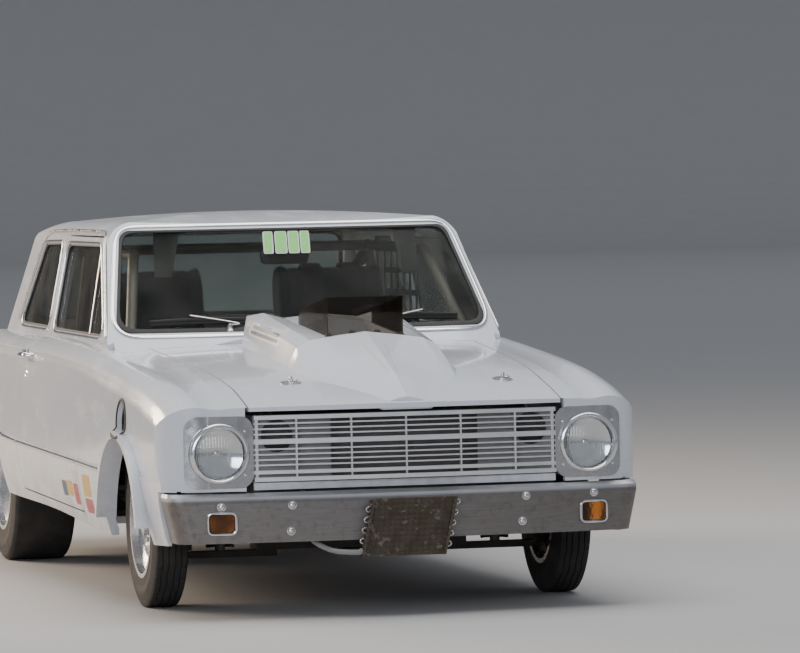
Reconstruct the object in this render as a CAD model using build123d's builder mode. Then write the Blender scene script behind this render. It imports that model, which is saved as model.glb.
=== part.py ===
from build123d import *
import math
import os

os.makedirs("parts", exist_ok=True)

# Axle places: the car points to -Y, its left side is +X, the ground is Z = 0
wheelbase = 2781.0
rear_overhang = 1031.0
front_overhang = 800.0
cooler_front = 840.0
front_axle_y = (cooler_front - wheelbase - rear_overhang) / 2


def back_of_axle(distance):
    """Y of a place that far behind the front axle."""
    return front_axle_y + distance


# Lower body sections: distance behind the front axle, then half widths and heights
# of the sill, the moulding line, the shoulder ridge, the crown, the hip and the deck
body_columns = (
    "back", "sill_x", "sill_z", "mould_x", "mould_z", "ridge_x", "ridge_z",
    "crown_x", "crown_z", "hip_x", "hip_z", "deck_z",
)
body_rows = (
    (-800, 792, 262, 824, 470, 838, 596, 700, 700, 618, 700, 720),
    (-600, 802, 250, 836, 466, 846, 650, 712, 752, 618, 752, 770),
    (-320, 808, 240, 846, 464, 850, 700, 722, 800, 617, 802, 822),
    (110, 814, 232, 856, 468, 850, 748, 730, 840, 616, 846, 868),
    (775, 824, 250, 866, 484, 846, 792, 736, 886, 614, 892, 908),
    (1850, 836, 284, 878, 508, 852, 824, 738, 912, 610, 918, 930),
    (2850, 832, 308, 872, 532, 848, 834, 732, 914, 610, 919, 928),
    (3400, 818, 324, 858, 546, 836, 824, 726, 898, 606, 903, 912),
    (3830, 798, 336, 840, 556, 820, 808, 718, 876, 600, 880, 888),
)
panel_thick = 26.0
door_thick = 60.0
scallop_depth = 9.0
shut_gap = 6.0
roundness = 0.414


def corner_middle(start, end, corner):
    """Middle of a quarter-round curve between two points and their corner."""
    x = (start[0] + end[0]) / 2
    z = (start[1] + end[1]) / 2
    return (x + roundness * (corner[0] - x), z + roundness * (corner[1] - z))


def lower_body(inset):
    """Closed lower body, its skin moved inwards by the inset."""
    with BuildPart() as solid:
        for values in body_rows:
            row = dict(zip(body_columns, values))
            sill = (row["sill_x"] - inset, row["sill_z"] + inset)
            mould = (row["mould_x"] - inset, row["mould_z"])
            ridge = (row["ridge_x"] - inset, row["ridge_z"])
            crown = (row["crown_x"], row["crown_z"] - inset)
            hip = (row["hip_x"], row["hip_z"] - inset)
            deck = (0.0, row["deck_z"] - inset)
            belly = ((sill[0] + mould[0]) / 2 + 8, (sill[1] + mould[1]) / 2)
            flank = ((mould[0] + ridge[0]) / 2 + 6, (mould[1] + ridge[1]) / 2)
            turn = corner_middle(ridge, crown, (ridge[0], crown[1]))
            valley = ((crown[0] + hip[0]) / 2, (crown[1] + hip[1]) / 2 - 5)
            with BuildSketch(Plane.XZ.offset(-back_of_axle(row["back"]))):
                with BuildLine():
                    Line((-sill[0], sill[1]), sill)
                    ThreePointArc(sill, belly, mould)
                    ThreePointArc(mould, flank, ridge)
                    ThreePointArc(ridge, turn, crown)
                    ThreePointArc(crown, valley, hip)
                    ThreePointArc(hip, deck, (-hip[0], hip[1]))
                    ThreePointArc((-hip[0], hip[1]), (-valley[0], valley[1]), (-crown[0], crown[1]))
                    ThreePointArc((-crown[0], crown[1]), (-turn[0], turn[1]), (-ridge[0], ridge[1]))
                    ThreePointArc((-ridge[0], ridge[1]), (-flank[0], flank[1]), (-mould[0], mould[1]))
                    ThreePointArc((-mould[0], mould[1]), (-belly[0], belly[1]), (-sill[0], sill[1]))
                make_face()
        loft()
    return solid.part


# Plan outline that rounds the nose and the tail
nose_half = 690.0
nose_corner_back = -724.0
tail_half = 800.0
tail_corner_back = rear_overhang + wheelbase - 92.0
body_front = -(front_overhang - 12.0)
body_rear = wheelbase + rear_overhang - 34.0
plan_side = 940.0


def plan_trim(inset):
    """Plan outline as a tall prism, moved inwards by the inset."""
    with BuildPart() as solid:
        with BuildSketch(Plane.XY.offset(100)):
            with BuildLine():
                left = (nose_half, back_of_axle(nose_corner_back) + inset)
                right = (-nose_half, left[1])
                ThreePointArc(right, (0, back_of_axle(body_front) + inset), left)
                turn_l = (798 - inset * 0.7, back_of_axle(-684) + inset * 0.7)
                end_l = (848 - inset, back_of_axle(-580) + inset * 0.2)
                ThreePointArc(left, turn_l, end_l)
                Line(end_l, (plan_side, back_of_axle(-400)))
                Line((plan_side, back_of_axle(-400)), (plan_side, back_of_axle(3600)))
                tail_l = (tail_half, back_of_axle(tail_corner_back) - inset)
                tail_r = (-tail_half, tail_l[1])
                Line((plan_side, back_of_axle(3600)), tail_l)
                ThreePointArc(tail_l, (0, back_of_axle(body_rear) - inset), tail_r)
                Line(tail_r, (-plan_side, back_of_axle(3600)))
                Line((-plan_side, back_of_axle(3600)), (-plan_side, back_of_axle(-400)))
                end_r = (-end_l[0], end_l[1])
                Line((-plan_side, back_of_axle(-400)), end_r)
                ThreePointArc(end_r, (-turn_l[0], turn_l[1]), right)
            make_face()
        extrude(amount=1000)
    return solid.part


def side_prism(points, near, far, rounding=0.0):
    """Side-view polygon (distance behind the front axle, height) run from X near to X far."""
    with BuildPart() as solid:
        with BuildSketch(Plane.YZ.offset(near)) as view:
            with BuildLine():
                Polyline([(back_of_axle(p[0]), p[1]) for p in points], close=True)
            make_face()
            if rounding:
                fillet(view.vertices(), rounding)
        extrude(amount=far - near)
    return solid.part


def front_prism(points, near, far, rounding=0.0):
    """Front-view polygon (X, height) run between two distances behind the front axle."""
    with BuildPart() as solid:
        with BuildSketch(Plane.XZ.offset(-back_of_axle(near))) as view:
            with BuildLine():
                Polyline(points, close=True)
            make_face()
            if rounding:
                fillet(view.vertices(), rounding)
        extrude(amount=-(far - near))
    return solid.part


def block(x0, x1, back0, back1, z0, z1):
    """Square box between two X places, two distances behind the axle and two heights."""
    with BuildPart() as solid:
        with Locations(((x0 + x1) / 2, back_of_axle((back0 + back1) / 2), (z0 + z1) / 2)):
            Box(x1 - x0, back1 - back0, z1 - z0)
    return solid.part


def drum(radius, x0, x1, back, z):
    """Cylinder along X."""
    with BuildPart() as solid:
        with BuildSketch(Plane.YZ.offset(x0)):
            with Locations((back_of_axle(back), z)):
                Circle(radius)
        extrude(amount=x1 - x0)
    return solid.part


def rod(start, end, radius):
    """Round bar between two places given as X, distance behind the axle, height."""
    a = Vector(start[0], back_of_axle(start[1]), start[2])
    b = Vector(end[0], back_of_axle(end[1]), end[2])
    with BuildPart() as solid:
        with BuildSketch(Plane(origin=a, z_dir=b - a)):
            Circle(radius)
        extrude(amount=(b - a).length)
    return solid.part


# Lower body: full skin, side scallop with its bullet nose, and the hollow
scallop_points = (
    (-420, 474), (-540, 500), (-598, 570), (-598, 650), (-540, 706),
    (-320, 744), (110, 790), (775, 834), (1850, 866), (2850, 878), (3500, 870),
    (3600, 700), (3500, 545), (1850, 512), (775, 488),
)
with BuildPart() as skin:
    add(lower_body(0))
    add(plan_trim(0), mode=Mode.INTERSECT)
body_core = lower_body(scallop_depth)
with BuildPart() as scallop:
    add(side_prism(scallop_points, 700, 900))
    add(side_prism(scallop_points, -900, -700))
    add(body_core, mode=Mode.SUBTRACT)
with BuildPart() as outer:
    add(skin.part)
    add(scallop.part, mode=Mode.SUBTRACT)
with BuildPart() as hollow:
    add(lower_body(panel_thick))
    add(plan_trim(panel_thick), mode=Mode.INTERSECT)
with BuildPart() as wall:
    add(outer.part)
    add(hollow.part, mode=Mode.SUBTRACT)

# Greenhouse: front profile, roof line, windscreen and rear window surfaces
roof_top = 1376.0
glass_base_z = 930.0
screen_centre_back = 640.0
screen_corner_back = 800.0
screen_half = 715.0
screen_rake = 0.95
rear_centre_back = 3020.0
rear_corner_back = 2930.0
rear_half = 700.0
rear_rake = 0.80


def greenhouse(inset):
    """Roof, pillars and glass house as one solid, moved inwards by the inset."""
    with BuildPart() as solid:
        base = 860.0
        side_low = (738 - inset, 912)
        side_high = (664 - inset, 1282 - inset * 0.5)
        roof_end = (560 - inset * 0.5, 1346 - inset)
        crown = (0, roof_top - inset)
        turn = corner_middle(side_high, roof_end, (652 - inset, 1340 - inset))
        with BuildSketch(Plane.XZ.offset(-back_of_axle(500))):
            with BuildLine():
                Line((-side_low[0], base), (side_low[0], base))
                Line((side_low[0], base), side_low)
                Line(side_low, side_high)
                ThreePointArc(side_high, turn, roof_end)
                ThreePointArc(roof_end, crown, (-roof_end[0], roof_end[1]))
                ThreePointArc((-roof_end[0], roof_end[1]), (-turn[0], turn[1]), (-side_high[0], side_high[1]))
                Line((-side_high[0], side_high[1]), (-side_low[0], side_low[1]))
                Line((-side_low[0], side_low[1]), (-side_low[0], base))
            make_face()
        extrude(amount=-2700)
        with BuildSketch(Plane.YZ.offset(-800)):
            with BuildLine():
                Line((back_of_axle(400), 800), (back_of_axle(3300), 800))
                Line((back_of_axle(3300), 800), (back_of_axle(3300), 1150 - inset))
                ThreePointArc(
                    (back_of_axle(3300), 1150 - inset),
                    (back_of_axle(1720), roof_top + 1 - inset),
                    (back_of_axle(400), 1215 - inset),
                )
                Line((back_of_axle(400), 1215 - inset), (back_of_axle(400), 800))
            make_face()
        extrude(amount=1600, mode=Mode.INTERSECT)
        add(screen_prism(inset), mode=Mode.INTERSECT)
        add(rear_window_prism(inset), mode=Mode.INTERSECT)
    return solid.part


def screen_prism(inset):
    """Everything behind the leaning, curved windscreen surface."""
    drop = glass_base_z - 700
    lean = (screen_centre_back - screen_rake * drop + inset * 1.38,
            screen_corner_back - screen_rake * drop + inset * 1.38)
    side = screen_half + 260
    side_back = lean[0] + (lean[1] - lean[0]) * (side / screen_half) ** 2
    with BuildPart() as solid:
        with BuildSketch(Plane.XY.offset(700)):
            with BuildLine():
                ThreePointArc((-side, back_of_axle(side_back)), (0, back_of_axle(lean[0])),
                              (side, back_of_axle(side_back)))
                Polyline((side, back_of_axle(side_back)), (side, back_of_axle(4600)),
                         (-side, back_of_axle(4600)), (-side, back_of_axle(side_back)))
            make_face()
        extrude(amount=800 * math.hypot(1, screen_rake), dir=(0, screen_rake, 1))
    return solid.part


def rear_window_prism(inset):
    """Everything ahead of the leaning, curved rear window surface."""
    drop = glass_base_z - 700
    lean = (rear_centre_back + rear_rake * drop - inset * 1.28,
            rear_corner_back + rear_rake * drop - inset * 1.28)
    side = rear_half + 260
    side_back = lean[0] + (lean[1] - lean[0]) * (side / rear_half) ** 2
    with BuildPart() as solid:
        with BuildSketch(Plane.XY.offset(700)):
            with BuildLine():
                ThreePointArc((side, back_of_axle(side_back)), (0, back_of_axle(lean[0])),
                              (-side, back_of_axle(side_back)))
                Polyline((-side, back_of_axle(side_back)), (-side, back_of_axle(-900)),
                         (side, back_of_axle(-900)), (side, back_of_axle(side_back)))
            make_face()
        extrude(amount=800 * math.hypot(1, rear_rake), dir=(0, -rear_rake, 1))
    return solid.part


pillar_thick = 34.0
glass_face = 8.0
glass_thick = 5.0
with BuildPart() as house:
    add(greenhouse(0))
    add(greenhouse(pillar_thick), mode=Mode.SUBTRACT)
with BuildPart() as inside:
    add(greenhouse(pillar_thick))
    add(block(-900, 900, 560, 3200, 850, 1500), mode=Mode.INTERSECT)
with BuildPart() as glass_skin:
    add(greenhouse(glass_face))
    add(greenhouse(glass_face + glass_thick), mode=Mode.SUBTRACT)

# Window openings: windscreen and rear window from the front, side windows from the side
screen_points = ((-704, 940), (704, 940), (622, 1314), (-622, 1314))
rear_points = ((-640, 950), (640, 950), (590, 1285), (-590, 1285))
door_glass_points = ((872, 928), (1896, 936), (1896, 1262), (1226, 1260))
quarter_points = ((2012, 940), (2640, 946), (2380, 1262), (2012, 1266))
window_corner = 46.0
small_corner = 26.0
screen_hole = front_prism(screen_points, 400, 1400, window_corner)
rear_hole = front_prism(rear_points, 2300, 3300, window_corner)

# Doors: a side-view outline below the belt and a window frame above it
door_front = 775.0
door_rear = 1955.0
rear_draft = 0.18


def door_region(clearance):
    """Space that the left door fills, made larger by the clearance."""
    front = door_front - clearance
    rear = door_rear + clearance
    with BuildPart() as solid:
        points = (
            (front, 300 - clearance), (rear + 60, 332 - clearance), (rear + 60, 1292 + clearance),
            (1190 - clearance * 1.3, 1288 + clearance), (815 - clearance * 1.4, 900), (front, 900),
        )
        add(side_prism(points, 560, 930))
        with BuildSketch(Plane.XY.offset(200)):
            with BuildLine():
                Polyline([
                    (560, back_of_axle(front - 5)), (930, back_of_axle(front - 5)),
                    (930, back_of_axle(rear + rear_draft * (930 - 860))),
                    (560, back_of_axle(rear + rear_draft * (560 - 860))),
                ], close=True)
            make_face()
        extrude(amount=1200, mode=Mode.INTERSECT)
    return solid.part


door_hole_l = door_region(shut_gap)

# Front end: wheel arch, vent hole in the fender, lamp openings, bonnet opening
arch_radius = 362.0
arch_z = 235.0
arch_lip = 26.0
rear_arch_radius = 392.0
rear_arch_z = 318.0
fender_rear = door_front - shut_gap
bonnet_rear = 640.0
bonnet_half_front = 547.0
bonnet_half_rear = 600.0
nose_lip_z = 706.0
lamp_x = 648.0
lamp_z = 565.0
lamp_back = -732.0
bezel_width = 236.0
bezel_height = 244.0
bezel_z = 569.0
bezel_corner = 46.0
vent_back = -18.0
vent_z = 655.0
vent_radius = 73.0


def bonnet_region(clearance):
    """Space that the bonnet fills."""
    with BuildPart() as solid:
        with BuildSketch(Plane.XY.offset(nose_lip_z - clearance)):
            with BuildLine():
                Polyline([
                    (-bonnet_half_front - clearance, back_of_axle(-900)),
                    (bonnet_half_front + clearance, back_of_axle(-900)),
                    (bonnet_half_front + clearance, back_of_axle(-500)),
                    (bonnet_half_rear + clearance, back_of_axle(bonnet_rear + clearance)),
                    (-bonnet_half_rear - clearance, back_of_axle(bonnet_rear + clearance)),
                    (-bonnet_half_front - clearance, back_of_axle(-500)),
                ], close=True)
            make_face()
        extrude(amount=500)
    return solid.part


bonnet_hole = bonnet_region(shut_gap)

with BuildPart() as fender_blank:
    add(wall.part)
    add(block(300, 930, -900, fender_rear, 225, 1000), mode=Mode.INTERSECT)
    add(bonnet_hole, mode=Mode.SUBTRACT)
    add(block(200, 790, -700, fender_rear + 5, 200, 440), mode=Mode.SUBTRACT)
    add(block(300, 560, -900, fender_rear + 5, 200, 720), mode=Mode.SUBTRACT)
    add(block(200, 930, -900, -588, 200, 436), mode=Mode.SUBTRACT)
    add(drum(arch_radius, 780, 930, 0, arch_z), mode=Mode.SUBTRACT)
    add(drum(vent_radius, 780, 930, vent_back, vent_z), mode=Mode.SUBTRACT)
    # The cowl strip behind the bonnet belongs to the body shell
    add(block(300, 716, bonnet_rear + shut_gap, 800, 800, 1000), mode=Mode.SUBTRACT)
with BuildPart() as arch_ring_l:
    add(drum(arch_radius + arch_lip, 800, 874, 0, arch_z))
    add(drum(arch_radius, 790, 880, 0, arch_z), mode=Mode.SUBTRACT)
    add(block(790, 880, -500, 500, -300, 300), mode=Mode.SUBTRACT)
with BuildPart() as fender_l:
    add(fender_blank.part)
    add(arch_ring_l.part)
    # Headlamp opening, a rounded square
    with BuildSketch(Plane.XZ.offset(-back_of_axle(-850))):
        with Locations((lamp_x, bezel_z)):
            RectangleRounded(bezel_width + 0.6, bezel_height + 0.6, bezel_corner + 0.3)
    extrude(amount=-300, mode=Mode.SUBTRACT)
with BuildPart() as fender_r:
    mirror(fender_l.part, about=Plane.YZ)

# Bonnet with the wedge scoop: section half-points from ridge to base
scoop_columns = ("back", "ridge_z", "valley_x", "valley_z", "top_x", "top_z", "edge_x", "edge_z", "foot_x", "foot_z")
scoop_rows = (
    (-772, 744, 30, 738, 52, 732, 70, 722, 84, 700),
    (-600, 819, 70, 796, 120, 778, 180, 764, 240, 730),
    (-460, 866, 100, 838, 190, 810, 250, 796, 310, 760),
    (-330, 907, 118, 886, 222, 858, 262, 838, 322, 790),
    (-190, 952, 137, 936, 205, 926, 252, 902, 306, 810),
    (520, 1004, 137, 990, 212, 1010, 274, 1000, 304, 850),
)
with BuildPart() as scoop:
    for values in scoop_rows:
        row = dict(zip(scoop_columns, values))
        half = [
            (row["valley_x"], row["valley_z"]), (row["top_x"], row["top_z"]),
            (row["edge_x"], row["edge_z"]), (row["foot_x"], row["foot_z"]),
        ]
        points = [(0, row["ridge_z"])] + half + [(-x, z) for x, z in reversed(half)]
        with BuildSketch(Plane.XZ.offset(-back_of_axle(row["back"]))):
            with BuildLine():
                Polyline(points, close=True)
            make_face()
    loft(ruled=True)
    add(hollow.part, mode=Mode.SUBTRACT)
with BuildPart() as bonnet:
    add(wall.part)
    add(bonnet_region(0), mode=Mode.INTERSECT)
    add(scoop.part)
    # Intake opening behind the deflector
    add(block(-118, 118, -160, 330, 700, 1100), mode=Mode.SUBTRACT)

# Smoked deflector standing on the scoop
deflector_half = 137.0
deflector_back = -176.0
deflector_thick = 5.0
deflector_top = 1074.0
with BuildPart() as wind_deflector:
    add(block(-deflector_half, deflector_half, deflector_back, deflector_back + deflector_thick, 880, deflector_top))
    add(side_prism(((deflector_back, 880), (280, 900), (280, 1022), (deflector_back, deflector_top)),
                   deflector_half - deflector_thick, deflector_half))
    add(side_prism(((deflector_back, 880), (280, 900), (280, 1022), (deflector_back, deflector_top)),
                   -deflector_half, -deflector_half + deflector_thick))
    add(bonnet.part, mode=Mode.SUBTRACT)

# Boot lid
boot_front = 3065.0
boot_half = 560.0
boot_low_z = 600.0
boot_gap = 8.0


def boot_region(clearance):
    """Space that the boot lid fills."""
    points = (
        (boot_front - clearance, 820), (boot_front - clearance, 1100), (4000, 1100), (4000, boot_low_z - clearance),
        (3700, boot_low_z - clearance), (3700, 820),
    )
    return side_prism(points, -boot_half - clearance, boot_half + clearance)


with BuildPart() as boot_lid:
    add(wall.part)
    add(boot_region(0), mode=Mode.INTERSECT)

belly_half = 600.0
tunnel_wide = 150.0
tunnel_narrow = 90.0
tunnel_step = 1300.0
tail_lamp_x = 690.0
tail_lamp_z = 660.0
tail_lamp_radius = 74.0

# Cowl strip ahead of the windscreen, with the bonnet's hinge pins on its front edge
hinge_pin = 5.7
bonnet_axis_back = bonnet_rear + 6.0
bonnet_axis_z = 899.0
boot_axis_back = boot_front - 4.0
boot_axis_z = 922.0
boot_pin = 3.7
with BuildPart() as cowl:
    add(wall.part)
    add(block(-716, 716, bonnet_rear + shut_gap * 2, door_front + 60, 800, 1000), mode=Mode.INTERSECT)
    for side in (-1, 1):
        with BuildSketch(Plane.YZ.offset(side * 90 - 30)):
            with Locations((back_of_axle(bonnet_axis_back), bonnet_axis_z)):
                Circle(hinge_pin)
        extrude(amount=60)
        add(block(side * 90 - 20, side * 90 + 20, bonnet_axis_back, bonnet_rear + 16, 882, 899))

# Body shell: quarters, rockers, cowl, roof and pillars
with BuildPart() as body_shell:
    add(wall.part)
    add(block(-950, 950, -950, door_front, 100, 1100), mode=Mode.SUBTRACT)
    add(house.part)
    add(bonnet_hole, mode=Mode.SUBTRACT)
    add(cowl.part)
    add(inside.part, mode=Mode.SUBTRACT)
    add(block(716, 950, -950, door_front, 100, 1400), mode=Mode.SUBTRACT)
    add(block(-950, -716, -950, door_front, 100, 1400), mode=Mode.SUBTRACT)
    add(screen_hole, mode=Mode.SUBTRACT)
    add(rear_hole, mode=Mode.SUBTRACT)
    add(side_prism(quarter_points, -900, 900, small_corner), mode=Mode.SUBTRACT)
    add(door_hole_l, mode=Mode.SUBTRACT)
    mirror(door_hole_l, about=Plane.YZ, mode=Mode.SUBTRACT)
    add(boot_region(boot_gap), mode=Mode.SUBTRACT)
    for side in (-1, 1):
        with BuildSketch(Plane.YZ.offset(side * 380 - 40)):
            with Locations((back_of_axle(boot_axis_back), boot_axis_z)):
                Circle(boot_pin)
        extrude(amount=80)
        add(block(side * 380 - 30, side * 380 + 30, boot_front - 12, boot_axis_back, 906, 922))
        near = 660 * side if side > 0 else -930
        far = 930 if side > 0 else -660
        add(drum(rear_arch_radius, near, far, wheelbase, rear_arch_z), mode=Mode.SUBTRACT)
        add(drum(rear_arch_radius + 8, min(side * 500, side * 800), max(side * 500, side * 800),
                 wheelbase, rear_arch_z), mode=Mode.SUBTRACT)
        with BuildSketch(Plane.XZ.offset(-back_of_axle(3600))):
            with Locations((side * tail_lamp_x, tail_lamp_z)):
                Circle(tail_lamp_radius + 0.3)
        extrude(amount=-300, mode=Mode.SUBTRACT)
    add(block(-700, 700, 2185, 3740, 250, 420), mode=Mode.SUBTRACT)
    # Belly is open between the rockers, the floor pan shows there
    add(block(-belly_half, belly_half, door_front - 60, 2190, 200, 420), mode=Mode.SUBTRACT)
    # Tunnel for the gearbox and the drive shaft
    add(block(-tunnel_wide, tunnel_wide, 500, tunnel_step, 200, 560), mode=Mode.SUBTRACT)
    add(block(-tunnel_narrow, tunnel_narrow, 500, 2300, 200, 430), mode=Mode.SUBTRACT)

# Doors
with BuildPart() as door_l:
    add(outer.part)
    add(lower_body(door_thick), mode=Mode.SUBTRACT)
    add(inside.part, mode=Mode.SUBTRACT)
    add(house.part)
    add(door_region(0), mode=Mode.INTERSECT)
    add(block(500, 752, 600, 2200, 200, 420), mode=Mode.SUBTRACT)
    add(block(500, 690, 600, 2200, 420, 905), mode=Mode.SUBTRACT)
    add(side_prism(door_glass_points, 500, 930, small_corner), mode=Mode.SUBTRACT)
with BuildPart() as door_r:
    mirror(door_l.part, about=Plane.YZ)


# Glass panes
with BuildPart() as windscreen:
    add(glass_skin.part)
    add(front_prism(((-703, 941), (703, 941), (621, 1313), (-621, 1313)), 400, 1400, window_corner - 1),
        mode=Mode.INTERSECT)
with BuildPart() as rear_window:
    add(glass_skin.part)
    add(front_prism(((-639, 951), (639, 951), (589, 1284), (-589, 1284)), 2300, 3300, window_corner - 1),
        mode=Mode.INTERSECT)
with BuildPart() as quarter_glass:
    add(glass_skin.part)
    add(side_prism(((2013, 941), (2639, 947), (2379, 1261), (2013, 1265)), -900, 900, small_corner - 1),
        mode=Mode.INTERSECT)
    add(block(-600, 600, 1900, 2800, 900, 1400), mode=Mode.SUBTRACT)
with BuildPart() as door_glass_l:
    add(glass_skin.part)
    add(side_prism(((874, 929), (1895, 937), (1895, 1261), (1227, 1259)), 500, 900, small_corner - 1),
        mode=Mode.INTERSECT)
with BuildPart() as door_glass_r:
    mirror(door_glass_l.part, about=Plane.YZ)

# Wheels: radii and widths of tyres and rims, and where their middles stand
wheel_columns = ("tyre_radius", "section", "tread", "rim_radius", "rim_half", "bore", "dish")
front_wheel = dict(zip(wheel_columns, (287.0, 132.0, 112.0, 172.0, 57.0, 30.0, 26.0)))
rear_wheel = dict(zip(wheel_columns, (330.0, 258.0, 228.0, 197.0, 118.0, 36.0, 44.0)))
front_wheel_x = 724.0
rear_wheel_x = 678.0
rim_wall = 7.0
tyre_seat = 0.3


def tyre(size):
    """Tyre about the X axis, open towards its rim."""
    with BuildPart() as solid:
        with BuildSketch(Plane.XY):
            with BuildLine():
                half = size["section"] / 2
                tread = size["tread"] / 2 - 4
                seat = size["rim_radius"] + tyre_seat
                shoulder = size["tyre_radius"] - 18
                foot = size["rim_half"] - 3
                middle = (seat + size["tyre_radius"]) / 2 + 4
                Polyline([
                    (-foot, seat), (foot, seat), (half, middle), (half - 6, shoulder),
                    (tread, size["tyre_radius"]), (-tread, size["tyre_radius"]),
                    (-half + 6, shoulder), (-half, middle),
                ], close=True)
            make_face()
        revolve(axis=Axis.X)
    return solid.part


def rim(size):
    """Rim about the X axis, its face towards +X."""
    r = size["rim_radius"]
    half = size["rim_half"]
    well = r - 32
    face = half - size["dish"]
    with BuildPart() as solid:
        with BuildSketch(Plane.XY):
            with BuildLine():
                Polyline([
                    (-half - 4, r + 12), (-half, r + 12), (-half + 2, r), (-half + 26, r), (-half + 36, well),
                    (face - 26, well), (half - 26, r), (half - 2, r), (half, r + 12), (half + 4, r + 12),
                    (half + 4, r - 4), (half - 22, r - rim_wall), (face - 14, well - rim_wall),
                    (face, well - 26), (face + 6, 74), (face - 6, 62), (face - 6, size["bore"]),
                    (face - 14, size["bore"]), (face - 14, 62), (face - 4, 78), (face - 10, well - 30),
                    (face - 24, well - rim_wall), (-half + 32, well - rim_wall), (-half + 22, r - rim_wall),
                    (-half - 4, r - 4),
                ], close=True)
            make_face()
        revolve(axis=Axis.X)
        # Round slots in the dished disc
        with BuildSketch(Plane.YZ.offset(face - 40)):
            with PolarLocations((well + 62) / 2 + 6, 8):
                Circle(15)
        extrude(amount=80, mode=Mode.SUBTRACT)
        # Hub cap and the wheel nuts
        with BuildSketch(Plane.YZ.offset(face - 14)):
            Circle(size["bore"])
        extrude(amount=34)
        with BuildSketch(Plane.YZ.offset(face - 6)):
            with PolarLocations(50, 5):
                RegularPolygon(9, 6)
        extrude(amount=16)
    return solid.part


front_tyre = tyre(front_wheel)
rear_tyre = tyre(rear_wheel)
front_rim = rim(front_wheel)
rear_rim = rim(rear_wheel)


def placed(piece, x, back, z, facing=1):
    """The piece moved to its axle end, turned round for the right side."""
    with BuildPart() as solid:
        if facing < 0:
            with Locations(Location((x, back_of_axle(back), z), (0, 0, 180))):
                add(piece)
        else:
            with Locations((x, back_of_axle(back), z)):
                add(piece)
    return solid


tyre_fl = placed(front_tyre, front_wheel_x, 0, front_wheel["tyre_radius"])
tyre_fr = placed(front_tyre, -front_wheel_x, 0, front_wheel["tyre_radius"], -1)
tyre_rl = placed(rear_tyre, rear_wheel_x, wheelbase, rear_wheel["tyre_radius"])
tyre_rr = placed(rear_tyre, -rear_wheel_x, wheelbase, rear_wheel["tyre_radius"], -1)
rim_fl = placed(front_rim, front_wheel_x, 0, front_wheel["tyre_radius"])
rim_fr = placed(front_rim, -front_wheel_x, 0, front_wheel["tyre_radius"], -1)
rim_rl = placed(rear_rim, rear_wheel_x, wheelbase, rear_wheel["tyre_radius"])
rim_rr = placed(rear_rim, -rear_wheel_x, wheelbase, rear_wheel["tyre_radius"], -1)

# Front knuckles: hub face against the wheel disc, brake drum and upright
front_hub_x = front_wheel_x + front_wheel["rim_half"] - front_wheel["dish"] - 14.3
kingpin_x = 628.0
ball_pin = 12.0
front_hub_z = front_wheel["tyre_radius"]
with BuildPart() as knuckle_l:
    add(drum(34, kingpin_x, front_hub_x, 0, front_hub_z))
    add(drum(58, front_hub_x - 12, front_hub_x, 0, front_hub_z))
    add(drum(112, front_hub_x - 90, front_hub_x - 14, 0, front_hub_z))
    add(block(kingpin_x - 22, kingpin_x + 22, -24, 24, front_hub_z - 92, front_hub_z + 104))
    add(block(kingpin_x - 12, kingpin_x + 10, 0, 128, front_hub_z - 46, front_hub_z - 30))
    with BuildSketch(Plane.XY.offset(190)):
        with Locations((kingpin_x, back_of_axle(0))):
            Circle(ball_pin + 0.3)
    extrude(amount=32.5, mode=Mode.SUBTRACT)
with BuildPart() as knuckle_r:
    mirror(knuckle_l.part, about=Plane.YZ)

# Rear axle: tube, drums, differential, leaf springs and the drive shaft
rear_hub_z = rear_wheel["tyre_radius"]
rear_hub_x = rear_wheel_x + rear_wheel["rim_half"] - rear_wheel["dish"] - 14.3
spring_x = 480.0
shackle_top = 469.7
with BuildPart() as rear_axle:
    add(drum(38, -rear_hub_x, rear_hub_x, wheelbase, rear_hub_z))
    add(drum(56, rear_hub_x - 12, rear_hub_x, wheelbase, rear_hub_z))
    add(drum(56, -rear_hub_x, -rear_hub_x + 12, wheelbase, rear_hub_z))
    with Locations((0, back_of_axle(wheelbase), rear_hub_z)):
        Sphere(122)
    for side in (-1, 1):
        middle = side * spring_x
        add(block(middle - 28, middle + 28, wheelbase - 560, wheelbase + 560, rear_hub_z - 72, rear_hub_z - 44))
        add(block(middle - 34, middle + 34, wheelbase - 60, wheelbase + 60, rear_hub_z - 84, rear_hub_z + 46))
        for end in (-542, 558):
            add(block(middle - 20, middle + 20, wheelbase + end - 18, wheelbase + end + 18,
                      rear_hub_z - 76, shackle_top))
    with BuildSketch(Plane.XZ.offset(-back_of_axle(1240))):
        with Locations((0, rear_hub_z - 10)):
            Circle(38)
    extrude(amount=-(wheelbase - 100 - 1240))

# Under body: floor with its kick-up over the axle, fire wall, inner aprons, wheel tubs
floor_half = 690.0
floor_line = (
    (690, 846), (690, 640), (760, 330), (2130, 350), (2210, 470), (3690, 470),
    (3690, 484), (2200, 484), (2120, 364), (772, 344), (704, 642), (704, 846),
)
apron_x = 440.0
radiator_face = -648.0
tub_radius = rear_arch_radius + 6.0
tub_inner_x = 520.0
tub_wall = 14.0
with BuildPart() as tub_l:
    add(drum(tub_radius, tub_inner_x, 800, wheelbase, rear_arch_z))
    add(drum(tub_radius - tub_wall, tub_inner_x + tub_wall, 810, wheelbase, rear_arch_z), mode=Mode.SUBTRACT)
    add(block(-900, 900, 2000, 3600, -200, 484), mode=Mode.SUBTRACT)
with BuildPart() as floor_sills:
    for side in (-1, 1):
        for back, low in ((1000, 272), (1900, 300)):
            add(block(min(side * 320, side * 680), max(side * 320, side * 680), back, back + 40, low, 352))
    add(body_shell.part, mode=Mode.SUBTRACT)
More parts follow.
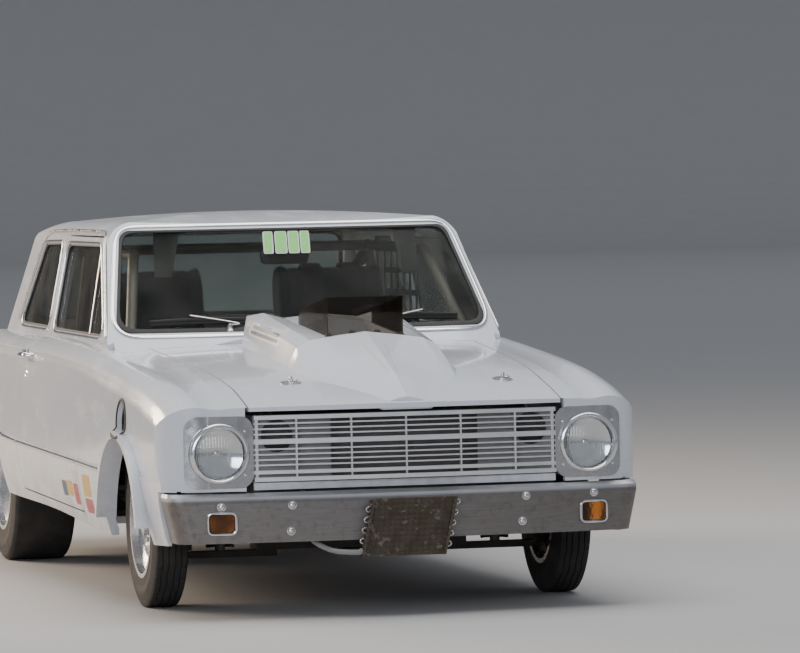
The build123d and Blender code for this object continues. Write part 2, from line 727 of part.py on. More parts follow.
with BuildPart() as under_body:
    add(floor_sills.part)
    add(side_prism(floor_line, -floor_half, floor_half))
    add(block(-floor_half, -apron_x - 10, radiator_face, 695, 612, 626))
    add(block(apron_x + 10, floor_half, radiator_face, 695, 612, 626))
    for side in (-1, 1):
        inner = side * apron_x
        add(side_prism(((radiator_face, 380), (radiator_face, 690), (-320, 752), (110, 798), (695, 834),
                        (695, 380)), min(inner, inner + side * 12), max(inner, inner + side * 12)))
        add(block(min(inner, inner - side * 60), max(inner, inner - side * 60), radiator_face, 700, 330, 400))
        add(block(min(side * tunnel_wide, side * (tunnel_wide + 12)), max(side * tunnel_wide, side * (tunnel_wide + 12)),
                  700, tunnel_step + 12, 335, 560))
        add(block(min(side * tunnel_narrow, side * (tunnel_narrow + 12)),
                  max(side * tunnel_narrow, side * (tunnel_narrow + 12)), tunnel_step, 2200, 340, 430))
    add(block(-tunnel_wide - 12, tunnel_wide + 12, 700, tunnel_step + 12, 548, 560))
    add(block(-tunnel_wide - 12, tunnel_wide + 12, tunnel_step, tunnel_step + 12, 335, 560))
    add(block(-tunnel_narrow - 12, tunnel_narrow + 12, tunnel_step, 2200, 418, 430))
    add(block(-tunnel_wide, tunnel_wide, 600, tunnel_step, 250, 548), mode=Mode.SUBTRACT)
    add(block(-tunnel_narrow, tunnel_narrow, tunnel_step - 1, 2230, 250, 418), mode=Mode.SUBTRACT)
    add(tub_l.part)
    mirror(tub_l.part, about=Plane.YZ)
    add(drum(tub_radius - tub_wall, tub_inner_x + tub_wall, 900, wheelbase, rear_arch_z), mode=Mode.SUBTRACT)
    add(drum(tub_radius - tub_wall, -900, -tub_inner_x - tub_wall, wheelbase, rear_arch_z), mode=Mode.SUBTRACT)

# Engine and gearbox as plain blocks at their real place and size, with the intake stack
with BuildPart() as engine:
    add(block(-280, 280, -170, 480, 250, 690))
    add(block(-130, 130, 480, 700, 270, 530))
    add(block(-110, 110, 700, 1240, 275, 470))
    add(block(-70, 70, -60, 240, 690, 850))
    add(block(-110, 110, 80, 330, 180, 250))

# Front subframe: cross member and lower arms
with BuildPart() as front_subframe:
    add(block(-380, 380, -60, 60, 190, 250))
    for side in (-1, 1):
        arm_end = side * (kingpin_x + 8)
        add(block(min(side * 300, arm_end), max(side * 300, arm_end), -22, 22, 166, 190))
        with BuildSketch(Plane.XY.offset(188)):
            with Locations((side * kingpin_x, back_of_axle(0))):
                Circle(ball_pin)
        extrude(amount=32)
        add(block(min(side * 360, side * 392), max(side * 360, side * 392), -60, 60, 240, 330))

# Exhaust pipes under the floor: pipe, silencer and tail, hung from two straps
exhaust_x = 230.0
exhaust_z = 282.0
pipe_radius = 30.0
silencer_radius = 46.0
with BuildPart() as exhaust:
    for side in (-1, 1):
        x = side * exhaust_x
        for start, end, radius in ((480.4, 2140, pipe_radius), (1500, 1950, silencer_radius)):
            add(rod((x, start, exhaust_z), (x, end, exhaust_z), radius))
        for strap, top in ((1100, 334.6), (2040, 348.3)):
            add(block(x - 12, x + 12, strap - 5, strap + 5, exhaust_z, top))

# Radiator with its support panel
radiator_back = -650.0
support_face = radiator_back - 12.0
with BuildPart() as radiator:
    add(block(-540, 540, support_face, radiator_back + 2, 410, 690))
    add(block(-220, 220, radiator_back - 30, radiator_back, 360, 670), mode=Mode.SUBTRACT)
    add(block(-240, 240, radiator_back, radiator_back + 60, 330, 690))

# Grille: horizontal bars from a short table, bowed forwards, with upright dividers
grille_half = 529.5
grille_front_back = -764.0
grille_corner_back = -740.0
bar_columns = ("z", "height", "depth", "proud")
bar_rows = (
    (684, 14, 22, 6), (663, 5, 16, 0), (645, 5, 16, 0), (627, 5, 16, 0), (602, 17, 20, 4),
    (576, 5, 16, 0), (558, 5, 16, 0), (540, 5, 16, 0), (522, 5, 16, 0), (498, 12, 20, 4), (474, 14, 22, 6),
)
divider_x = (-384.0, -192.0, 0.0, 192.0, 384.0)


def bowed_bar(proud, depth):
    """Plan outline of one bar, bowed forwards at the centre line."""
    front = (grille_front_back - proud, grille_corner_back - proud)
    ThreePointArc((-grille_half, back_of_axle(front[1])), (0, back_of_axle(front[0])),
                  (grille_half, back_of_axle(front[1])))
    Line((grille_half, back_of_axle(front[1])), (grille_half, back_of_axle(front[1] + depth)))
    ThreePointArc((grille_half, back_of_axle(front[1] + depth)), (0, back_of_axle(front[0] + depth)),
                  (-grille_half, back_of_axle(front[1] + depth)))
    Line((-grille_half, back_of_axle(front[1] + depth)), (-grille_half, back_of_axle(front[1])))


with BuildPart() as grille:
    for values in bar_rows:
        row = dict(zip(bar_columns, values))
        with BuildSketch(Plane.XY.offset(row["z"] - row["height"] / 2)):
            with BuildLine():
                bowed_bar(row["proud"], row["depth"])
            make_face()
        extrude(amount=row["height"])
    for x in divider_x:
        add(block(x - 3, x + 3, -752, -734, 468, 690))
    for side in (-1, 1):
        edge = side * (grille_half - 5)
        add(block(min(edge, edge - side * 10), max(edge, edge - side * 10), -738, -722, 468, 690))

# Headlamps: chrome surround with its bucket, and the round lens
lens_radius = 89.0
with BuildPart() as headlamps:
    for side in (-1, 1):
        with BuildSketch(Plane.XZ.offset(-back_of_axle(lamp_back))):
            with Locations((side * lamp_x, bezel_z)):
                RectangleRounded(bezel_width, bezel_height, bezel_corner)
        extrude(amount=-50)
    add(plan_trim(-7), mode=Mode.INTERSECT)
    for side in (-1, 1):
        # Ring that stands proud round the lens
        with BuildSketch(Plane.XZ.offset(-back_of_axle(lamp_back - 6))):
            with Locations((side * lamp_x, lamp_z)):
                Circle(lens_radius + 17)
        extrude(amount=-20)
    for side in (-1, 1):
        with BuildSketch(Plane.XZ.offset(-back_of_axle(lamp_back - 20))):
            with Locations((side * lamp_x, lamp_z)):
                Circle(lens_radius - 2)
        extrude(amount=-54, mode=Mode.SUBTRACT)

# Oil cooler hung ahead of the bumper: a leaning core between two side rails, tubes between fins
cooler_thick = 32.0
cooler_core = ((-142, 401), (156, 401), (110, 205), (-184, 205))
cooler_rail = 10.0
cooler_tubes = 11
with BuildPart() as oil_cooler:
    for side in (-1, 1):
        add(block(side * 90 - 12, side * 90 + 12, -cooler_front + 30, -front_overhang + 0.3, 330, 360))
    add(front_prism(cooler_core, -cooler_front + 7, -cooler_front + cooler_thick - 5))
    for low_x, high_x in ((-184, -142), (110 - cooler_rail, 156 - cooler_rail)):
        add(front_prism(((low_x, 205), (low_x + cooler_rail, 205), (high_x + cooler_rail, 401), (high_x, 401)),
                        -cooler_front, -cooler_front + cooler_thick))
    for index in range(cooler_tubes):
        z = 214 + index * (401 - 205 - 18) / (cooler_tubes - 1)
        lean = (z - 205) / (401 - 205)
        x = -184 + lean * 42
        add(block(x + 2, x + 294 + lean * 4 - 2, -cooler_front + 3, -cooler_front + cooler_thick - 2, z - 2.5, z + 2.5))

# Bumpers: bowed channels; height, half width, how far the face is set back, inner height
front_bumper_rows = ((262, 796, 0, 270), (396, 826, 0, 392), (418, 828, 9, 411), (430, 824, 34, 422))
rear_bumper_rows = ((400, 866, 0, 408), (500, 876, 0, 496), (528, 876, 8, 521), (540, 872, 26, 532))
bumper_wall = 8.0


def bumper_plan(inset, half, nose, corner, end, direction):
    """Closed plan outline of a bumper with short wrapped ends."""
    ThreePointArc((-half + 60, corner + direction * inset), (0, nose + direction * inset),
                  (half - 60, corner + direction * inset))
    ThreePointArc((half - 60, corner + direction * inset),
                  (half - 16 - inset * 0.7, corner + direction * (18 + inset * 0.7)),
                  (half - inset, corner + direction * 62))
    Line((half - inset, corner + direction * 62), (half - inset, end))
    Line((half - inset, end), (-half + inset, end))
    Line((-half + inset, end), (-half + inset, corner + direction * 62))
    ThreePointArc((-half + inset, corner + direction * 62),
                  (-half + 16 + inset * 0.7, corner + direction * (18 + inset * 0.7)),
                  (-half + 60, corner + direction * inset))


def bumper(rows, nose, corner, end, direction, flange):
    """Bumper channel open towards the car, its face set back towards the top."""
    widest = max(row[1] for row in rows)
    with BuildPart() as solid:
        for z, half, set_back, inner_z in rows:
            with BuildSketch(Plane.XY.offset(z)):
                with BuildLine():
                    bumper_plan(0, half, nose + direction * set_back, corner + direction * set_back, end, direction)
                make_face()
        loft(ruled=True)
    with BuildPart() as space:
        for z, half, set_back, inner_z in rows:
            with BuildSketch(Plane.XY.offset(inner_z)):
                with BuildLine():
                    bumper_plan(bumper_wall, half, nose + direction * set_back, corner + direction * set_back,
                                end + direction * 40, direction)
                make_face()
        loft(ruled=True)
        with BuildSketch(Plane.XY.offset(rows[0][0])):
            with BuildLine():
                bumper_plan(flange, widest, nose, corner, end + direction * 40, direction)
            make_face()
        extrude(amount=rows[-1][0] - rows[0][0])
    with BuildPart() as channel:
        add(solid.part)
        add(space.part, mode=Mode.SUBTRACT)
    return channel


front_bumper_blank = bumper(front_bumper_rows, back_of_axle(-front_overhang), back_of_axle(-752),
                            back_of_axle(-600), 1, 44.0)
rear_bumper = bumper(rear_bumper_rows, back_of_axle(wheelbase + rear_overhang), back_of_axle(3774),
                     back_of_axle(3640), -1, 26.0)

# Front panel below and beside the grille opening, with its round duct holes
duct_x = 446.0
duct_z = 620.0
with BuildPart() as front_panel:
    for side in (-1, 1):
        with BuildSketch(Plane.XZ.offset(-back_of_axle(-722))):
            with Locations((side * 393.5, 575)):
                Rectangle(271, 226)
            with Locations((side * duct_x, duct_z)):
                Circle(56, mode=Mode.SUBTRACT)
        extrude(amount=-4)
        add(block(side * 520 - 6, side * 520 + 6, -718, support_face, 462, 688))
    add(block(-529, 529, -734, -718, 438, 462))

# Lamp lenses, indicators and tail lamps
lens_bulge = 300.0
lens_front = -733.0
with BuildPart() as lens:
    with BuildSketch(Plane.XZ.offset(-back_of_axle(lens_front - 10))):
        with Locations((lamp_x, lamp_z)):
            Circle(lens_radius - 2.4)
    extrude(amount=-35)
    with Locations((lamp_x, back_of_axle(lens_front + lens_bulge), lamp_z)):
        Sphere(lens_bulge, mode=Mode.INTERSECT)
with BuildPart() as lamp_lenses:
    add(lens.part)
    mirror(lens.part, about=Plane.YZ)
indicator_x = 652.0
indicator_z = 330.0
with BuildPart() as indicators:
    for side in (-1, 1):
        with BuildSketch(Plane.XZ.offset(-back_of_axle(-778))):
            with Locations((side * indicator_x, indicator_z)):
                RectangleRounded(84, 62, 12)
        extrude(amount=-30)
with BuildPart() as tail_lamps:
    for side in (-1, 1):
        with BuildSketch(Plane.XZ.offset(-back_of_axle(3700))):
            with Locations((side * tail_lamp_x, tail_lamp_z)):
                Circle(tail_lamp_radius)
        extrude(amount=-68)
with BuildPart() as front_bumper:
    add(front_bumper_blank.part)
    for side in (-1, 1):
        add(block(side * 410 - 14, side * 410 + 14, -783, radiator_face, 345, 395))
        with BuildSketch(Plane.XZ.offset(-back_of_axle(-900))):
            with Locations((side * indicator_x, indicator_z)):
                RectangleRounded(84.8, 62.8, 12.9)
        extrude(amount=-250, mode=Mode.SUBTRACT)

# Cabin: dash with its column, two high-backed seats, the cage and the window net
driver_x = 360.0
seat_points = (
    (1330, 440), (1340, 540), (1400, 566), (1800, 520), (1905, 1120), (1960, 1150), (2010, 1120), (1920, 440),
)
seat_half = 212.0
seat_foot = ((1380, 353.4), (1860, 360.6), (1860, 445), (1380, 445))
with BuildPart() as seat_l:
    add(side_prism(seat_points, driver_x - seat_half, driver_x + seat_half, 16))
    add(side_prism(seat_foot, driver_x - 170, driver_x + 170))
with BuildPart() as seat_r:
    mirror(seat_l.part, about=Plane.YZ)
with BuildPart() as dash:
    add(side_prism(((712, 600), (712, 800), (760, 842), (930, 842), (950, 820), (930, 690), (820, 600)), -600, 600, 12))
column_tilt = 22.0
wheel_back = 1190.0
wheel_z = 850.0


column_gap = 15.3
column_end = (
    driver_x,
    wheel_back - column_gap * math.cos(math.radians(column_tilt)),
    wheel_z - column_gap * math.sin(math.radians(column_tilt)),
)
with BuildPart() as steering_column:
    add(rod((driver_x, 900, wheel_z - 290 * math.tan(math.radians(column_tilt))), column_end, 18))
    add(dash.part, mode=Mode.SUBTRACT)
steer_dir = Vector(0, math.cos(math.radians(column_tilt)), math.sin(math.radians(column_tilt)))
steer_plane = Plane(origin=(driver_x, back_of_axle(wheel_back), wheel_z), z_dir=steer_dir)
with BuildPart() as steering_wheel:
    with BuildSketch(Plane(origin=steer_plane.origin, x_dir=steer_plane.x_dir, z_dir=steer_plane.y_dir)):
        with Locations((170, 0)):
            Circle(13)
    revolve(axis=Axis(steer_plane.origin, steer_plane.z_dir))
    with BuildSketch(steer_plane.offset(-8)):
        Circle(34)
        for angle in (90, 210, 330):
            with Locations(Rotation(0, 0, angle)):
                with Locations((85, 0)):
                    Rectangle(170, 22)
    extrude(amount=10)
    with BuildSketch(steer_plane.offset(-15)):
        Circle(24)
    extrude(amount=30)

# Cage tubes: start and end places and radius, left side ones are mirrored
tube_radius = 20.0
joint_radius = tube_radius + 3.0
hoop_back = 2090.0
cage_tubes = (
    ((600, hoop_back, 368), (600, hoop_back, 900), tube_radius),
    ((600, hoop_back, 900), (556, hoop_back, 1230), tube_radius),
    ((556, hoop_back, 1230), (556, 1190, 1222), tube_radius),
    ((556, 1190, 1222), (640, 850, 890), tube_radius),
    ((640, 850, 890), (640, 800, 349), tube_radius),
    ((600, hoop_back, 760), (640, 811, 470), tube_radius - 2),
    ((600, hoop_back, 440), (640, 833, 710), tube_radius - 3),
    ((556, hoop_back, 1230), (450, 2900, 760), tube_radius),
    ((450, 2900, 760), (450, 2936, 488), tube_radius),
)
cage_joints = (
    (600, hoop_back, 900), (556, hoop_back, 1230), (556, 1190, 1222), (640, 850, 890), (450, 2900, 760),
)
cage_feet = ((600, hoop_back - 4, 364.4), (640, 800, 345.1), (450, 2936, 484.3))
with BuildPart() as cage_side:
    for start, end, radius in cage_tubes:
        add(rod(start, end, radius))
    for x, back, z in cage_joints:
        with Locations((x, back_of_axle(back), z)):
            Sphere(joint_radius)
    for x, back, z in cage_feet:
        add(block(x - 28, x + 28, back - 28, back + 28, z, z + 8))
with BuildPart() as roll_cage:
    add(cage_side.part)
    mirror(cage_side.part, about=Plane.YZ)
    add(rod((-556, hoop_back, 1230), (556, hoop_back, 1230), tube_radius))
    add(rod((561, hoop_back, 1190), (-598, hoop_back, 416), tube_radius - 2))
    add(rod((-600, hoop_back, 846), (600, hoop_back, 846), tube_radius - 1))

# Window net on the driver's side, a lattice of straps
net_x = 578.4
with BuildPart() as window_net:
    for index in range(6):
        back = 1400 + index * 100
        add(block(net_x - 2, net_x + 2, back - 11, back + 11, 950, 1232))
    for index in range(4):
        z = 966 + index * 84
        add(block(net_x - 2, net_x + 2, 1389, 1911, z - 11, z + 11))

print("all done")
pieces = dict(
    body_shell=body_shell, under_body=under_body, fender_l=fender_l, fender_r=fender_r, windscreen=windscreen,
    rear_window=rear_window, quarter_glass=quarter_glass, front_bumper=front_bumper, rear_bumper=rear_bumper,
    grille=grille, headlamps=headlamps, radiator=radiator, oil_cooler=oil_cooler, engine=engine,
    rear_axle=rear_axle, front_subframe=front_subframe, exhaust=exhaust,
    front_panel=front_panel, lamp_lenses=lamp_lenses,
    indicators=indicators, tail_lamps=tail_lamps, seat_l=seat_l, seat_r=seat_r, dash=dash,
    steering_column=steering_column, steering_wheel=steering_wheel, roll_cage=roll_cage, window_net=window_net,
    door_l=door_l, door_r=door_r, door_glass_l=door_glass_l, door_glass_r=door_glass_r,
    bonnet=bonnet, wind_deflector=wind_deflector, boot_lid=boot_lid,
    knuckle_l=knuckle_l, knuckle_r=knuckle_r, tyre_fl=tyre_fl, tyre_fr=tyre_fr, tyre_rl=tyre_rl, tyre_rr=tyre_rr,
    rim_fl=rim_fl, rim_fr=rim_fr, rim_rl=rim_rl, rim_rr=rim_rr,
)
for name, piece in pieces.items():
    piece.part.label = name
    export_step(piece.part, "parts/" + name + ".step")
    print(name, len(piece.part.solids()), round(piece.part.volume / 1e6, 2))
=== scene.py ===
# %% [markdown]
# # A white two-door sedan built for the drag strip
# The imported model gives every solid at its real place. This lesson dresses it: each finish is a small
# tree of shader maths, and each added piece is a surface worked out from a few numbers. The car points
# along -Y, its left side is +X, the ground is at Z = 0, and every length is in metres.

# %% The frame
import math
import bmesh
import bpy
import numpy as np
from mathutils import Matrix, Vector
from mathutils.bvhtree import BVHTree


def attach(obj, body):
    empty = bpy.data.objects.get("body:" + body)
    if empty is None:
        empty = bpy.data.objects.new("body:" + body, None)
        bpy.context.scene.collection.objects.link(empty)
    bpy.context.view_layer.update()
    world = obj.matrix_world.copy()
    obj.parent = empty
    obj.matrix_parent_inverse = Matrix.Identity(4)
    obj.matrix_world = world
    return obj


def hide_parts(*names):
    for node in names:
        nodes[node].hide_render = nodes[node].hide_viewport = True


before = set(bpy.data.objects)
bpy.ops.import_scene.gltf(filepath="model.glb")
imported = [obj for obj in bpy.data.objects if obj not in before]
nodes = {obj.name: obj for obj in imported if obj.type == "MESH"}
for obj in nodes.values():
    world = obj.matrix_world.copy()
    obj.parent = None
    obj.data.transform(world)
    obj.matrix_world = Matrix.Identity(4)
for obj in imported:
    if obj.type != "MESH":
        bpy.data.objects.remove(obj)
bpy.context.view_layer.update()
front_axle = -1.486


def back(distance):
    """Y of a place that far behind the front axle."""
    return front_axle + distance


# %% [markdown]
# ## Tools for surfaces
# A piece is a grid of points and a table of corner numbers. Working both out as whole arrays keeps
# each shape one formula: a profile carried along a path, a profile turned about an axis, or a small
# form repeated at many places.

# %% Grids, sweeps and turned shapes


def quads(rows, columns, ring_rows=False, ring_columns=False):
    """Corner numbers of a grid's quads: a, its next row, both next, its next column."""
    r = np.arange(rows if ring_rows else rows - 1)
    c = np.arange(columns if ring_columns else columns - 1)
    a, b = np.meshgrid(r, c, indexing="ij")
    a2, b2 = (a + 1) % rows, (b + 1) % columns
    corners = [a * columns + b, a2 * columns + b, a2 * columns + b2, a * columns + b2]
    return np.stack(corners, -1).reshape(-1, 4)


merge_distance = 1e-6


def made(name, shape, finish, body="body", smooth=35):
    """A mesh piece from points and faces: equal points merged, faces turned outwards, riding on a body."""
    points, faces = shape
    mesh = bpy.data.meshes.new(name)
    mesh.from_pydata(np.asarray(points, float).reshape(-1, 3).tolist(), [],
                     [list(map(int, f)) for f in faces])
    work = bmesh.new()
    work.from_mesh(mesh)
    bmesh.ops.remove_doubles(work, verts=work.verts, dist=merge_distance)
    bmesh.ops.recalc_face_normals(work, faces=work.faces)
    work.to_mesh(mesh)
    work.free()
    mesh.polygons.foreach_set("use_smooth", np.ones(len(mesh.polygons), bool))
    mesh.set_sharp_from_angle(angle=math.radians(smooth))
    mesh.materials.append(finish)
    piece = bpy.data.objects.new(name, mesh)
    bpy.context.scene.collection.objects.link(piece)
    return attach(piece, body)


def joined(shapes):
    """Several shapes as one: points stacked, corner numbers moved on by the points before them."""
    points, faces, start = [], [], 0
    for p, f in shapes:
        p = np.asarray(p, float).reshape(-1, 3)
        points.append(p)
        faces += [[int(i) + start for i in face] for face in f]
        start += len(p)
    return np.concatenate(points), faces


def repeated(shape, matrices):
    """The shape at many places: each point times each 4 x 4 matrix, in one product."""
    points, faces = shape
    p = np.asarray(points, float).reshape(-1, 3)
    m = np.asarray(matrices, float)
    moved = np.einsum("kij,nj->kni", m[:, :3, :3], p) + m[:, None, :3, 3]
    f = [[int(i) + k * len(p) for i in face] for k in range(len(m)) for face in faces]
    return moved.reshape(-1, 3), f


def shifts(places):
    """4 x 4 matrices that only move to the places."""
    m = np.tile(np.eye(4), (len(places), 1, 1))
    m[:, :3, 3] = places
    return m


def turns(places, outward):
    """Matrices whose Z looks outward at each place, with X kept level."""
    places, z = np.asarray(places, float), np.asarray(outward, float)
    z = np.broadcast_to(z, places.shape)
    z = z / np.linalg.norm(z, axis=1, keepdims=True)
    hint = np.where(np.abs(z[:, 2:]) > 0.9, [[1.0, 0, 0]], [[0, 0, 1.0]])
    x = np.cross(hint, z)
    x /= np.linalg.norm(x, axis=1, keepdims=True)
    y = np.cross(z, x)
    m = np.tile(np.eye(4), (len(places), 1, 1))
    m[:, :3, 0], m[:, :3, 1], m[:, :3, 2], m[:, :3, 3] = x, y, z, places
    return m


def tube(rows, columns):
    """Faces of a grid closed round its columns, with a cap on its first and last row."""
    last = (rows - 1) * columns
    caps = [list(range(columns))[::-1], list(range(last, last + columns))]
    return quads(rows, columns, False, True).tolist() + caps


def sheet(under, over, rows, columns):
    """Closed sheet between two grids of points, with a wall all round."""
    n = rows * columns
    face, grid = quads(rows, columns), np.arange(n).reshape(rows, columns)
    rim = np.concatenate([grid[0], grid[1:, -1], grid[-1, -2::-1], grid[-2:0:-1, 0]])
    wall = np.stack([rim, np.roll(rim, -1), np.roll(rim, -1) + n, rim + n], 1)
    return np.concatenate([under, over]), np.concatenate([face[:, ::-1], face + n, wall]).tolist()


def carried(profile, path, up, loop=False):
    """Profile along a path: point + across * u + rise * v, with across = way x up, rise = across x way."""
    path, profile = np.asarray(path, float), np.asarray(profile, float)
    step = np.roll(path, -1, 0) - np.roll(path, 1, 0) if loop else np.gradient(path, axis=0)
    step /= np.linalg.norm(step, axis=1, keepdims=True)
    across = np.cross(step, np.broadcast_to(up, path.shape))
    across /= np.linalg.norm(across, axis=1, keepdims=True)
    rise = np.cross(across, step)
    points = path[:, None] + across[:, None] * profile[None, :, :1] + rise[:, None] * profile[None, :, 1:2]
    n, m = points.shape[:2]
    return points.reshape(-1, 3), quads(n, m, True, True).tolist() if loop else tube(n, m)


def ring(radius, sides=12, squash=1.0):
    """Round profile: radius times cosine and sine."""
    t = np.linspace(0, 2 * np.pi, sides, endpoint=False)
    return np.stack([radius * np.cos(t), radius * squash * np.sin(t)], 1)


def slab(wide, thick, corner=0.25, sides=3):
    """Flat strip profile with rounded corners, its foot on the path."""
    r = min(wide, thick) * corner
    t = np.linspace(0, np.pi / 2, sides)
    quarter = np.stack([np.cos(t), np.sin(t)], 1) * r
    half_w, half_t = wide / 2 - r, thick / 2 - r
    parts = [quarter * s + [half_w * s[0], half_t * s[1]] for s in ((1, 1), (-1, 1), (-1, -1), (1, -1))]
    parts[1], parts[3] = parts[1][::-1], parts[3][::-1]
    return np.concatenate(parts) + [0, thick / 2]


def turned(profile, centre=(0, 0, 0), axis="z", steps=72):
    """Lathe of (along, radius) points: centre + axis * along + radius * (cosine, sine) across the axis."""
    profile = np.asarray(profile, float)
    t = np.linspace(0, 2 * np.pi, steps, endpoint=False)
    along = np.broadcast_to(profile[:, 0], (steps, len(profile)))
    a, b = np.outer(np.cos(t), profile[:, 1]), np.outer(np.sin(t), profile[:, 1])
    order = {"x": (along, a, b), "y": (a, along, b), "z": (a, b, along)}[axis]
    points = np.stack(order, -1) + np.asarray(centre, float)
    return points.reshape(-1, 3), quads(steps, len(profile), True).tolist()


def smoothed(points, count, loop=False):
    """Count points on a Catmull-Rom line through the given ones, each span from its four nearest."""
    p = np.asarray(points, float)
    n = len(p)
    spans = n if loop else n - 1
    t = np.linspace(0, spans, count, endpoint=not loop)
    i = np.minimum(t.astype(int), spans - 1)
    f = (t - i)[:, None]
    pick = (lambda k: p[k % n]) if loop else (lambda k: p[np.clip(k, 0, n - 1)])
    a, b, c, d = pick(i - 1), pick(i), pick(i + 1), pick(i + 2)
    return 0.5 * (2 * b + (c - a) * f + (2 * a - 5 * b + 4 * c - d) * f**2 + (3 * b - a - 3 * c + d) * f**3)


print("tools ready")

# %% [markdown]
# ## Tools for finishes
# Shader maths reads best as Python: a Field wraps one socket, and each operator adds a Math node.
# A Finish holds one Principled shader and hands out any other node by its type.

# %% Fields and finishes


class Field:
    """A number that changes over a surface."""

    def __init__(self, finish, socket):
        self.finish, self.socket = finish, socket

    def _math(self, operation, *values):
        node = self.finish.node("Math", {"operation": operation}, dict(enumerate(values)))
        return Field(self.finish, node.outputs[0])

    def __add__(self, other): return self._math("ADD", self, other)
    def __radd__(self, other): return self._math("ADD", other, self)
    def __sub__(self, other): return self._math("SUBTRACT", self, other)
    def __rsub__(self, other): return self._math("SUBTRACT", other, self)
    def __mul__(self, other): return self._math("MULTIPLY", self, other)
    def __rmul__(self, other): return self._math("MULTIPLY", other, self)
    def __truediv__(self, other): return self._math("DIVIDE", self, other)
    def __pow__(self, other): return self._math("POWER", self, other)
    def __abs__(self): return self._math("ABSOLUTE", self)
    def least(self, other): return self._math("MINIMUM", self, other)
    def most(self, other): return self._math("MAXIMUM", self, other)
    def wave(self, length): return self._math("SINE", self * (2 * math.pi / length))

    def above(self, edge, soft=0.002):
        """0 below the edge, 1 above it, with a smooth step as wide as twice the softness."""
        node = self.finish.node("MapRange", {"interpolation_type": "SMOOTHSTEP"},
                                {0: self, 1: edge - soft, 2: edge + soft})
        return Field(self.finish, node.outputs[0])

    def between(self, low, high, soft=0.002):
        """1 between the two edges."""
        return self.above(low, soft) * (1 - self.above(high, soft))


class Finish:
    """One material: a Principled shader with fixed numbers, and fields or colours that feed it."""

    def __init__(self, name, colour, roughness, metallic=0.0, **fixed):
        self.material = bpy.data.materials.new(name)
        self.material.use_nodes = True
        self.tree = self.material.node_tree
        self.shader = self.tree.nodes["Principled BSDF"]
        self.set("Base Color", (*colour, 1))
        self.set("Roughness", roughness)
        self.set("Metallic", metallic)
        for key, value in fixed.items():
            self.set(key.replace("_", " "), value)
        self.coordinates = self.node("TexCoord").outputs["Object"]
        split = self.node("SeparateXYZ", {}, {0: self.coordinates})
        self.x, self.y, self.z = (Field(self, s) for s in split.outputs)
        self.material.diffuse_color = (*colour, 1)

    def feed(self, socket, value):
        """Link a field or an output to an input, or store a fixed value in it."""
        value = value.socket if isinstance(value, Field) else value
        if isinstance(value, bpy.types.NodeSocket):
            self.tree.links.new(value, socket)
        else:
            socket.default_value = value

    def node(self, kind, settings=None, sockets=None):
        """A new shader node with its settings and what feeds its inputs."""
        node = self.tree.nodes.new("ShaderNode" + kind)
        for key, value in (settings or {}).items():
            setattr(node, key, value)
        for key, value in (sockets or {}).items():
            self.feed(node.inputs[key], value)
        return node

    def set(self, name, value):
        """Feed one input of the Principled shader."""
        self.feed(self.shader.inputs[name], value)

    def noise(self, scale, detail=3.0, stretch=None):
        """Cloudy field about 0.5; scale is features per metre, stretch squeezes it per axis."""
        place = self.coordinates
        if stretch:
            place = self.node("Mapping", {}, {0: place, 3: stretch}).outputs[0]
        node = self.node("TexNoise", {},
                         {"Vector": place, "Scale": scale, "Detail": detail, "Roughness": 0.55})
        return Field(self, node.outputs[0])

    def cells(self, scale):
        """Distance to the nearest of many scattered points."""
        node = self.node("TexVoronoi", {"feature": "F1"}, {"Vector": self.coordinates, "Scale": scale})
        return Field(self, node.outputs[0])

    def mix(self, factor, a, b):
        """Colour a where the factor is 0 and b where it is 1."""
        a = (*a, 1) if isinstance(a, tuple) and len(a) == 3 else a
        b = (*b, 1) if isinstance(b, tuple) and len(b) == 3 else b
        node = self.node("Mix", {"data_type": "RGBA"}, {0: factor, 6: a, 7: b})
        return node.outputs[2]

    def bump(self, height, depth, strength=1.0):
        """Height field as a Bump on the normal; depth in metres."""
        node = self.node("Bump", {}, {"Strength": strength, "Distance": depth, "Height": height})
        self.set("Normal", node.outputs[0])


print("finish tools ready")

# %% [markdown]
# ## White paint
# Old white enamel over steel: a slightly wavy gloss with dust, road film on the low edges and small
# chips on the nose. All of it is read from where a point lies on the car, so one finish serves
# every panel and runs on unbroken across the shut lines.

# %% White paint
body_white, pin_green = (0.72, 0.745, 0.80), (0.30, 0.48, 0.16)
earth, bare_chip, dry_smear = (0.20, 0.155, 0.11), (0.16, 0.10, 0.07), (0.50, 0.47, 0.43)


def road_film(finish, colour):
    """Dust that thickens towards the ground, patched by slow noise."""
    low = 1 - finish.z.above(0.38, 0.20)
    patch = finish.noise(9, 5).above(0.47, 0.17)
    streak = finish.noise(30, 4, stretch=(1, 1, 0.12)).above(0.55, 0.2)
    amount = (low * patch * 0.42 + low * streak * 0.20).least(0.6)
    return finish.mix(amount, colour, earth), amount


